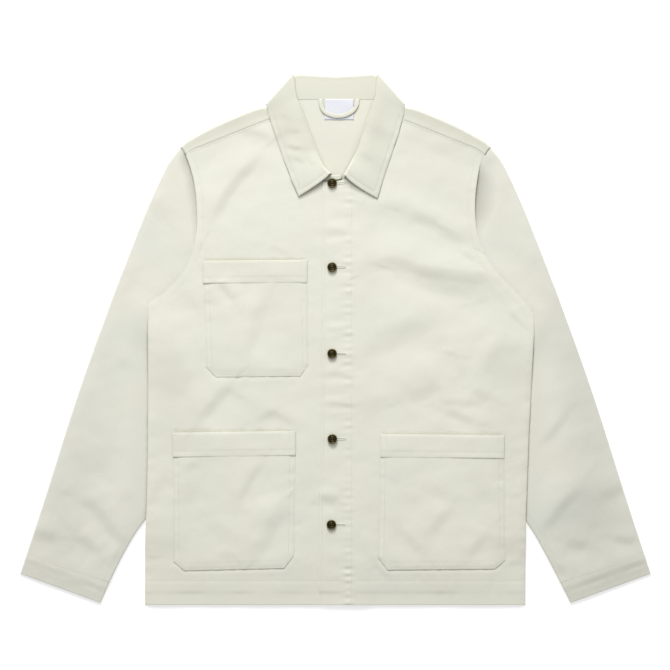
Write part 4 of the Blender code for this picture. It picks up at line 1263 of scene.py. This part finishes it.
def make_pocket(name, material, thread_material):
    """A patch pocket with two rows of stitches, on its front."""
    corners = POCKETS[name]
    lines = [inset_line(corners, place) for place in POCKET_STITCHES]
    make_panel(name, pocket_plan(corners), partial(pocket_height, name), lines,
               material, thread_material)


def make_band(pocket, material, thread_material):
    """A pocket's turned top band: a row of stitches, its sewn ends and a tack at each."""
    corners, height = POCKETS[pocket], BAND_HEIGHT[pocket]
    left = np.array(corners[0]) + (BAND_INSET, 0)
    right = np.array(corners[-1]) - (BAND_INSET, 0)
    box = [left, left - (0, height), right - (0, height), right]
    low = height - BAND_STITCH
    lines = [[left + (2.0, -low), right + (-2.0, -low)],
             [left + (1.8, -2.0), left + (1.8, -height + 1.5)],
             [right + (-1.8, -2.0), right + (-1.8, -height + 1.5)]]
    for end, way in ((left, 1), (right, -1)):
        tack = end + (way * TACK_LENGTH, -2.2)
        lines += [[end + (way * 1.5, -2.2), tack], [tack, tack - (0, TACK_DEPTH)]]
    make_panel(pocket + "_band", pocket_plan(box), partial(band_height, pocket), lines,
               material, thread_material, wall=WALL + 0.2)


# ==== Collar ===================================================================================
ROLL_COLUMN = 5         # of a section's points, the one on the roll
LEAF_LEAST = 5.0        # the leaf lies above this on the fronts
# Places of close columns, in sections from a front end of the collar
COLLAR_ENDS = np.array([0, 0.01, 0.03, 0.07, 0.13, 0.2, 0.3, 0.42, 0.5, 0.58, 0.66, 0.8])


def bowed(share, bow):
    """How far the leaf's front edge sags at a share of its length."""
    return bow * np.sin(math.pi * np.asarray(share) ** 0.75)


def leaf_line(side):
    """Half of the leaf's edge: its bowed front, from the roll to the point, and its outer
    edge from there to the shoulder."""
    roll, point = np.array(ROLL_LINE[side][0]), np.array(LEAF_EDGE[side][0])
    run = point - roll
    outward = np.array([-run[1], run[0]]) / np.linalg.norm(run)
    shares = np.linspace(0.0, 1.0, 9)[:, None]
    front = roll + run * shares - outward * bowed(shares, LEAF_BOW[side])
    return on_side(np.vstack([front, LEAF_EDGE[side][1:]]), side)


def collar_section(row, side, stand_z, leaf_z, leaf_edge_z, reach=(0.0, 0.0), bow=0.0):
    """Points across the collar: neck seam, stand, round the roll, leaf and its edge."""
    neck, roll, edge = (np.array(row[k:k + 2]) for k in (0, 2, 4))
    stand_out, leaf_out = reach
    run = edge - roll
    outward = np.array([-run[1], run[0]]) / np.linalg.norm(run)
    points = []
    for share in (0.0, 0.3, 0.6, 0.85, 0.95):
        out = stand_out + (leaf_out - stand_out) * share ** 4
        low = 0.45 * max(1.0 - share / 0.4, 0.0)
        points.append((*(neck + (roll - neck) * share + outward * out), stand_z - low))
    points.append((*(roll + outward * leaf_out), (stand_z + leaf_z) / 2))
    for share, dip in ((0.035, 0.8), (0.12, 0.3), (0.3, 0.0), (0.5, 0.0), (0.75, 0.0),
                       (1.0, 0.0)):
        height = leaf_z + (leaf_edge_z - leaf_z) * share - dip * min(leaf_z - stand_z, 1.0)
        out = leaf_out - bowed(share, bow)
        points.append((*(roll + run * share + outward * out), height))
    return np.array(points) * (side, 1, 1)


def collar_half(side):
    """Sections from the front end of one side to the centre back."""
    neckline = divide(NECKLINE[side], 24)[::-1]
    shares = np.linspace(COLLAR_START[side], COLLAR_TURN_START, COLLAR_SECTIONS + 1)
    necks = pushed_left(at(neckline, shares), 0.9)
    rolls = divide(ROLL_LINE[side], COLLAR_SECTIONS)
    edges = divide(LEAF_EDGE[side], COLLAR_SECTIONS)
    stands, curl = LEAF_EDGE_STANDS[side]
    sections = []
    for index, (neck, roll, edge) in enumerate(zip(necks, rolls, edges)):
        lift = LEAF_END_LIFT * ramp(index, 3.0, 0.0)
        stand_z = base_at(side, side * neck[0], neck[1]) - 0.5
        leaf_z = stand_z + 0.5 + LEAF_RISE + lift
        edge_z = base_at(side, side * edge[0], edge[1]) + stands + curl * lift
        bow = LEAF_BOW[side] * ramp(index, 3.0, -0.6) if index else LEAF_BOW[side]
        sections.append(collar_section((*neck, *roll, *edge), side, stand_z, leaf_z, edge_z,
                                       bow=bow))
    front_stand_z, front_leaf_z = stand_z, leaf_z
    for step in range(TURN_STEPS + 1):
        swing = math.pi * step / TURN_STEPS
        drop = (1 - math.cos(swing)) / 2
        stand_z = front_stand_z + (STAND_BACK_Z - front_stand_z) * drop
        leaf_z = front_leaf_z + (LEAF_BACK_Z - front_leaf_z) * drop
        reach = (STAND_TURN_REACH * math.sin(swing), LEAF_TURN_REACH * math.sin(swing))
        sections.append(collar_section(COLLAR_TURN, side, stand_z, leaf_z, leaf_z, reach))
    for row in spline(COLLAR_BACK, np.linspace(0, len(COLLAR_BACK) - 1, 5)):
        sections.append(collar_section(row, side, STAND_BACK_Z, LEAF_BACK_Z, LEAF_BACK_Z))
    return sections


def collar_grid():
    """The collar's points, section by section, and which of its columns are on the leaf."""
    sections = np.array(collar_half(RIGHT) + collar_half(LEFT)[::-1][1:])
    count, columns = len(sections) - 1, sections.shape[1] - 1
    along = np.concatenate([COLLAR_ENDS, np.linspace(1.0, count - 1.0, 260),
                            count - COLLAR_ENDS[::-1]])
    across = np.concatenate([[0, 0.015, 0.05, 0.14],
                             np.linspace(0, ROLL_COLUMN - 1, 12)[1:-1],
                             np.linspace(ROLL_COLUMN - 1, ROLL_COLUMN + 2, 13)[:-1],
                             np.linspace(ROLL_COLUMN + 2, columns - 1, 12)[:-1],
                             columns - np.array([1, 0.85, 0.7, 0.6, 0.5, 0.4, 0.3, 0.22, 0.14,
                                                 0.08, 0.03, 0.01, 0])])
    return resampled(sections, along, across), across > ROLL_COLUMN + 0.5


def leaf_relief(x, y):
    """What its stitches, its folded edge and its creases add to the leaf."""
    outline = np.vstack([leaf_line(LEFT)[::-1], leaf_line(RIGHT)])
    away, run = nearest(x, y, outline)
    away = np.abs(away)
    relief = groove(away, COLLAR_STITCH, 0.38, 1.2)
    relief += rounded(away, 0.45, 1.8) + creased(x, y, COLLAR_CREASES)
    relief += pucker(away, run, COLLAR_STITCH - 2.0, 0.10, 101, 12.0, 5.0)
    return relief + 0.12 * waves(x, y, 42.0, 103)


def make_collar(material, thread_material):
    """Stand and leaf in one folded piece, from one front end round to the other."""
    grid, leaf = collar_grid()
    x, y, z = np.moveaxis(grid[:, leaf], -1, 0)
    in_front = ramp(y, 338.0, 320.0) * (z > LEAF_LEAST)
    grid[:, leaf, 2] += leaf_relief(x, y) * in_front
    piece = cloth("collar", grid, material, wall=COLLAR_WALL, offset=0.0)
    finish(piece, "collar")
    top_points = grid[:, leaf].reshape(-1, 3)
    top_points = top_points[top_points[:, 2] > LEAF_LEAST]

    def leaf_top(x, y):
        spots = [((top_points[:, 0] - px) ** 2 + (top_points[:, 1] - py) ** 2).argmin()
                 for px, py in zip(x, y)]
        return top_points[spots, 2] + COLLAR_WALL / 2

    left, right = leaf_line(LEFT)[1:], leaf_line(RIGHT)[1:][::-1]
    lines = [inset_line(line, COLLAR_STITCH) for line in (left, right)]
    sewing = stitches("collar_stitches", lines, leaf_top, thread_material)


def make_stand_end(material):
    """The end of the stand that shows at the top of the left front's edge."""
    fine = spline(STAND_END, np.linspace(0, len(STAND_END) - 1, 30))
    x, low, high = fine.T
    height = base_at(LEFT, *STAND_END[0][:2])
    ends = np.minimum(x - x[0], x[-1] - x)
    rows = []
    for share in np.linspace(0, 1, 9):
        edge = np.full(len(x), min(share, 1 - share) * 8.0)
        z = height + rounded(edge, 0.4, 2.0) + rounded(ends, 0.5, 2.0)
        rows.append(np.column_stack([x, low + (high - low) * share, z]))
    grid = np.array(rows)
    piece = finish(cloth("collar_stand_end", grid, material), "collar_stand_end")


# ==== Neck trim, buttons and buttonholes =======================================================
INSIDE_TOP = NECK_RISE + WALL + INSIDE_RISE     # the back's inner face in the neck


def make_label(tape):
    """The woven label, bare."""
    x, y = np.meshgrid(np.linspace(*LABEL_X, 34), np.linspace(*LABEL_Y, 26))
    edge = np.minimum(np.minimum(x - LABEL_X[0], LABEL_X[1] - x), y - LABEL_Y[0])
    z = INSIDE_TOP + 0.75 + 0.12 * waves(x, y, 26.0, 111) + rounded(edge, 0.25, 1.5)
    grid = np.dstack([x, y, z])
    label = finish(cloth("label", grid, tape, wall=0.6), "label")


def make_hanger_loop(material):
    """A flat self-cloth cord that arches over the label."""
    path = at(smooth(LOOP_PATH), np.linspace(0, 1, LOOP_STEPS))
    across = leftward(path)
    arch = 1.1 * np.sin(np.linspace(0, math.pi, LOOP_STEPS)) ** 0.5
    rows = []
    for turn in np.linspace(0, 2 * math.pi, LOOP_ROUND + 1)[:-1]:
        out = LOOP_WIDTH / 2 * np.sign(math.cos(turn)) * abs(math.cos(turn)) ** 0.7
        z = INSIDE_TOP + 1.0 + 0.5 * math.sin(turn) + arch
        rows.append(np.column_stack([path + across * out, z]))
    ring = np.array(rows).transpose(1, 0, 2)
    faces = grid_faces(LOOP_STEPS, LOOP_ROUND, ring=True).tolist()
    last = (LOOP_STEPS - 1) * LOOP_ROUND
    faces += [list(range(LOOP_ROUND))[::-1], list(range(last, last + LOOP_ROUND))]
    loop = add_closed("hanger_loop", ring.reshape(-1, 3), faces, material)
    # The loop takes no painted light or shade: its tone is 1 all over
    set_painted_tone(loop, [1.0] * len(loop.data.vertices))
    return finish(loop, "hanger_loop")


def make_button(index, x, y, brass):
    """A turned metal button, on the highest place of the cloth under it."""
    turns = np.linspace(0, 2 * math.pi, BUTTON_STEPS + 1)[:-1]
    reach = (-BUTTON_RADIUS, 0, BUTTON_RADIUS)
    spots = np.array([(x + dx, y + dy) for dx in reach for dy in reach])
    seat = float(front_height(LEFT, spots[:, 0], spots[:, 1]).max()) + 0.2
    verts = [(x + radius * math.cos(t), y + radius * math.sin(t), seat + z)
             for radius, z in BUTTON_PROFILE[1:-1] for t in turns]
    rings = len(BUTTON_PROFILE) - 2
    faces = grid_faces(rings, BUTTON_STEPS, ring=True).tolist()
    top, foot, last = len(verts), len(verts) + 1, (rings - 1) * BUTTON_STEPS
    verts += [(x, y, seat + BUTTON_PROFILE[0][1]), (x, y, seat)]
    for k in range(BUTTON_STEPS):
        nxt = (k + 1) % BUTTON_STEPS
        faces += [[top, k, nxt], [foot, last + nxt, last + k]]
    finish(add_closed(f"button_{index}", verts, faces, brass), f"button_{index}")


def make_buttonhole(index, x, y, thread_material):
    """A worked edge round a slit, as a ring of thread with small bars across it."""
    half, wide, radius = BUTTONHOLE_LENGTH / 2, 1.1, 0.55
    turns = np.linspace(0, 2 * math.pi, 121)[:-1]
    cx = x + half + 1.0 + half * np.sign(np.cos(turns)) * np.abs(np.cos(turns)) ** 0.35
    cy = y + wide * np.sin(turns)
    cz = front_height(LEFT, cx, cy) + 0.1
    bars = 1.0 + 0.28 * np.sin(turns * 60.0)
    rows = []
    for k in np.linspace(0, 2 * math.pi, 9)[:-1]:
        out = radius * bars * math.cos(k)
        rows.append(np.column_stack([cx + out * np.cos(turns) * 0.6, cy + out * np.sin(turns),
                                     cz + radius * bars * math.sin(k)]))
    faces = grid_faces(len(rows), len(turns), ring=True, closed=True).tolist()
    finish(add_closed(f"buttonhole_{index}", np.vstack(rows), faces, thread_material))


# ==== Floor, light and camera ==================================================================
FLOOR_HALF = 4000.0
FLOOR_Z = -0.05
VIEW_WIDTH = 978.2      # what the camera sees across, at the cloth
VIEW_MIDDLE = (-0.73, 6.9)
LENS = 120.0
SENSOR = 36.0
WHITE = (1.0, 1.0, 1.0, 1.0)


def white_board():
    """Matt white lacquer, rolled on flat: to the eye a plain white without shine. It glows a
    little, so that it stays white round the jacket."""
    material, _, shader = new_material("white_table_top", 0.9)
    shader.inputs["Base Color"].default_value = linear("#bcbcbc")
    shader.inputs["Emission Color"].default_value = WHITE
    shader.inputs["Emission Strength"].default_value = 0.60
    shader.inputs["Specular IOR Level"].default_value = 0.1
    return material


def make_floor():
    """A wide white table top, just under the jacket."""
    corners = [(x * FLOOR_HALF, y * FLOOR_HALF, FLOOR_Z)
               for x, y in ((-1, -1), (1, -1), (1, 1), (-1, 1))]
    floor = add_piece("floor", corners, [[0, 1, 2, 3]], white_board(), smooth_shaded=False)


def aimed(name, data, place):
    """Puts a light at a place, in metres, turned to the jacket's middle."""
    light = bpy.data.objects.new(name, data)
    light.location = Vector(place)
    light.rotation_euler = (-Vector(place)).to_track_quat("-Z", "Y").to_euler()
    bpy.context.scene.collection.objects.link(light)


def light_scene():
    """A white room, a broad soft light beyond the collar and a low one that rakes the cloth."""
    world = bpy.data.worlds.new("studio")
    world.use_nodes = True
    background = world.node_tree.nodes["Background"]
    background.inputs["Color"].default_value = WHITE
    background.inputs["Strength"].default_value = 0.42
    bpy.context.scene.world = world
    key = bpy.data.lights.new("soft_key", "AREA")
    key.shape = "SQUARE"
    key.size = 1.0
    key.energy = 21.0
    aimed("soft_key", key, (-0.25, 1.5, 1.25))
    rake = bpy.data.lights.new("raking_light", "SUN")
    rake.energy = 1.65
    rake.angle = math.radians(14.0)
    aimed("raking_light", rake, (-0.08, 1.0, 0.52))


def place_camera():
    """A long lens straight above the jacket."""
    camera = bpy.data.cameras.new("camera")
    camera.lens = LENS
    camera.sensor_width = SENSOR
    camera.clip_end = 50.0
    height = VIEW_WIDTH * LENS / SENSOR + 5.0
    viewer = bpy.data.objects.new("camera", camera)
    viewer.location = Vector((*VIEW_MIDDLE, height)) * MILLIMETRE
    bpy.context.scene.collection.objects.link(viewer)
    bpy.context.scene.camera = viewer
    bpy.context.scene.view_settings.view_transform = "Standard"


# ==== The jacket ===============================================================================
# One undyed canvas in copies: the sleeves', the inside's and the collar's are made deeper than
# the body's as painted shade. The collar's copy also covers the back over the shoulders, the
# hanger loop and the stand's end.
body_canvas = canvas("cotton_canvas_body", "#e6e7d9", "#e8e6d8")
sleeve_canvas = {side: canvas(f"cotton_canvas_sleeve_{word}", "#e1e2d6", "#e4e2d5", turn)
                 for side, word, turn in ((LEFT, "left", 0.38), (RIGHT, "right", -0.38))}
inside_canvas = canvas("cotton_canvas_inside", "#e0e1d3", "#e5e2d3")
collar_canvas = canvas("cotton_canvas_collar", "#dddecf", "#dfddce")
sewing_thread = thread()
tape = label_tape()
brass = antique_brass()

make_label(tape)
hanger_loop = make_hanger_loop(collar_canvas)
make_back(inside_canvas, collar_canvas, sewing_thread)
make_front(RIGHT, "front_right", body_canvas, sewing_thread)
make_front(LEFT, "front_left", body_canvas, sewing_thread)
for side, word in ((LEFT, "left"), (RIGHT, "right")):
    make_sleeve(side, f"sleeve_{word}", sleeve_canvas[side], sewing_thread)
for pocket in POCKETS:
    make_pocket(pocket, body_canvas, sewing_thread)
    make_band(pocket, body_canvas, sewing_thread)
make_collar(collar_canvas, sewing_thread)
make_stand_end(collar_canvas)
for index, (x, y) in enumerate(BUTTONS, start=1):
    make_button(index, x, y, brass)
    make_buttonhole(index, x, y, sewing_thread)
make_floor()
light_scene()
place_camera()
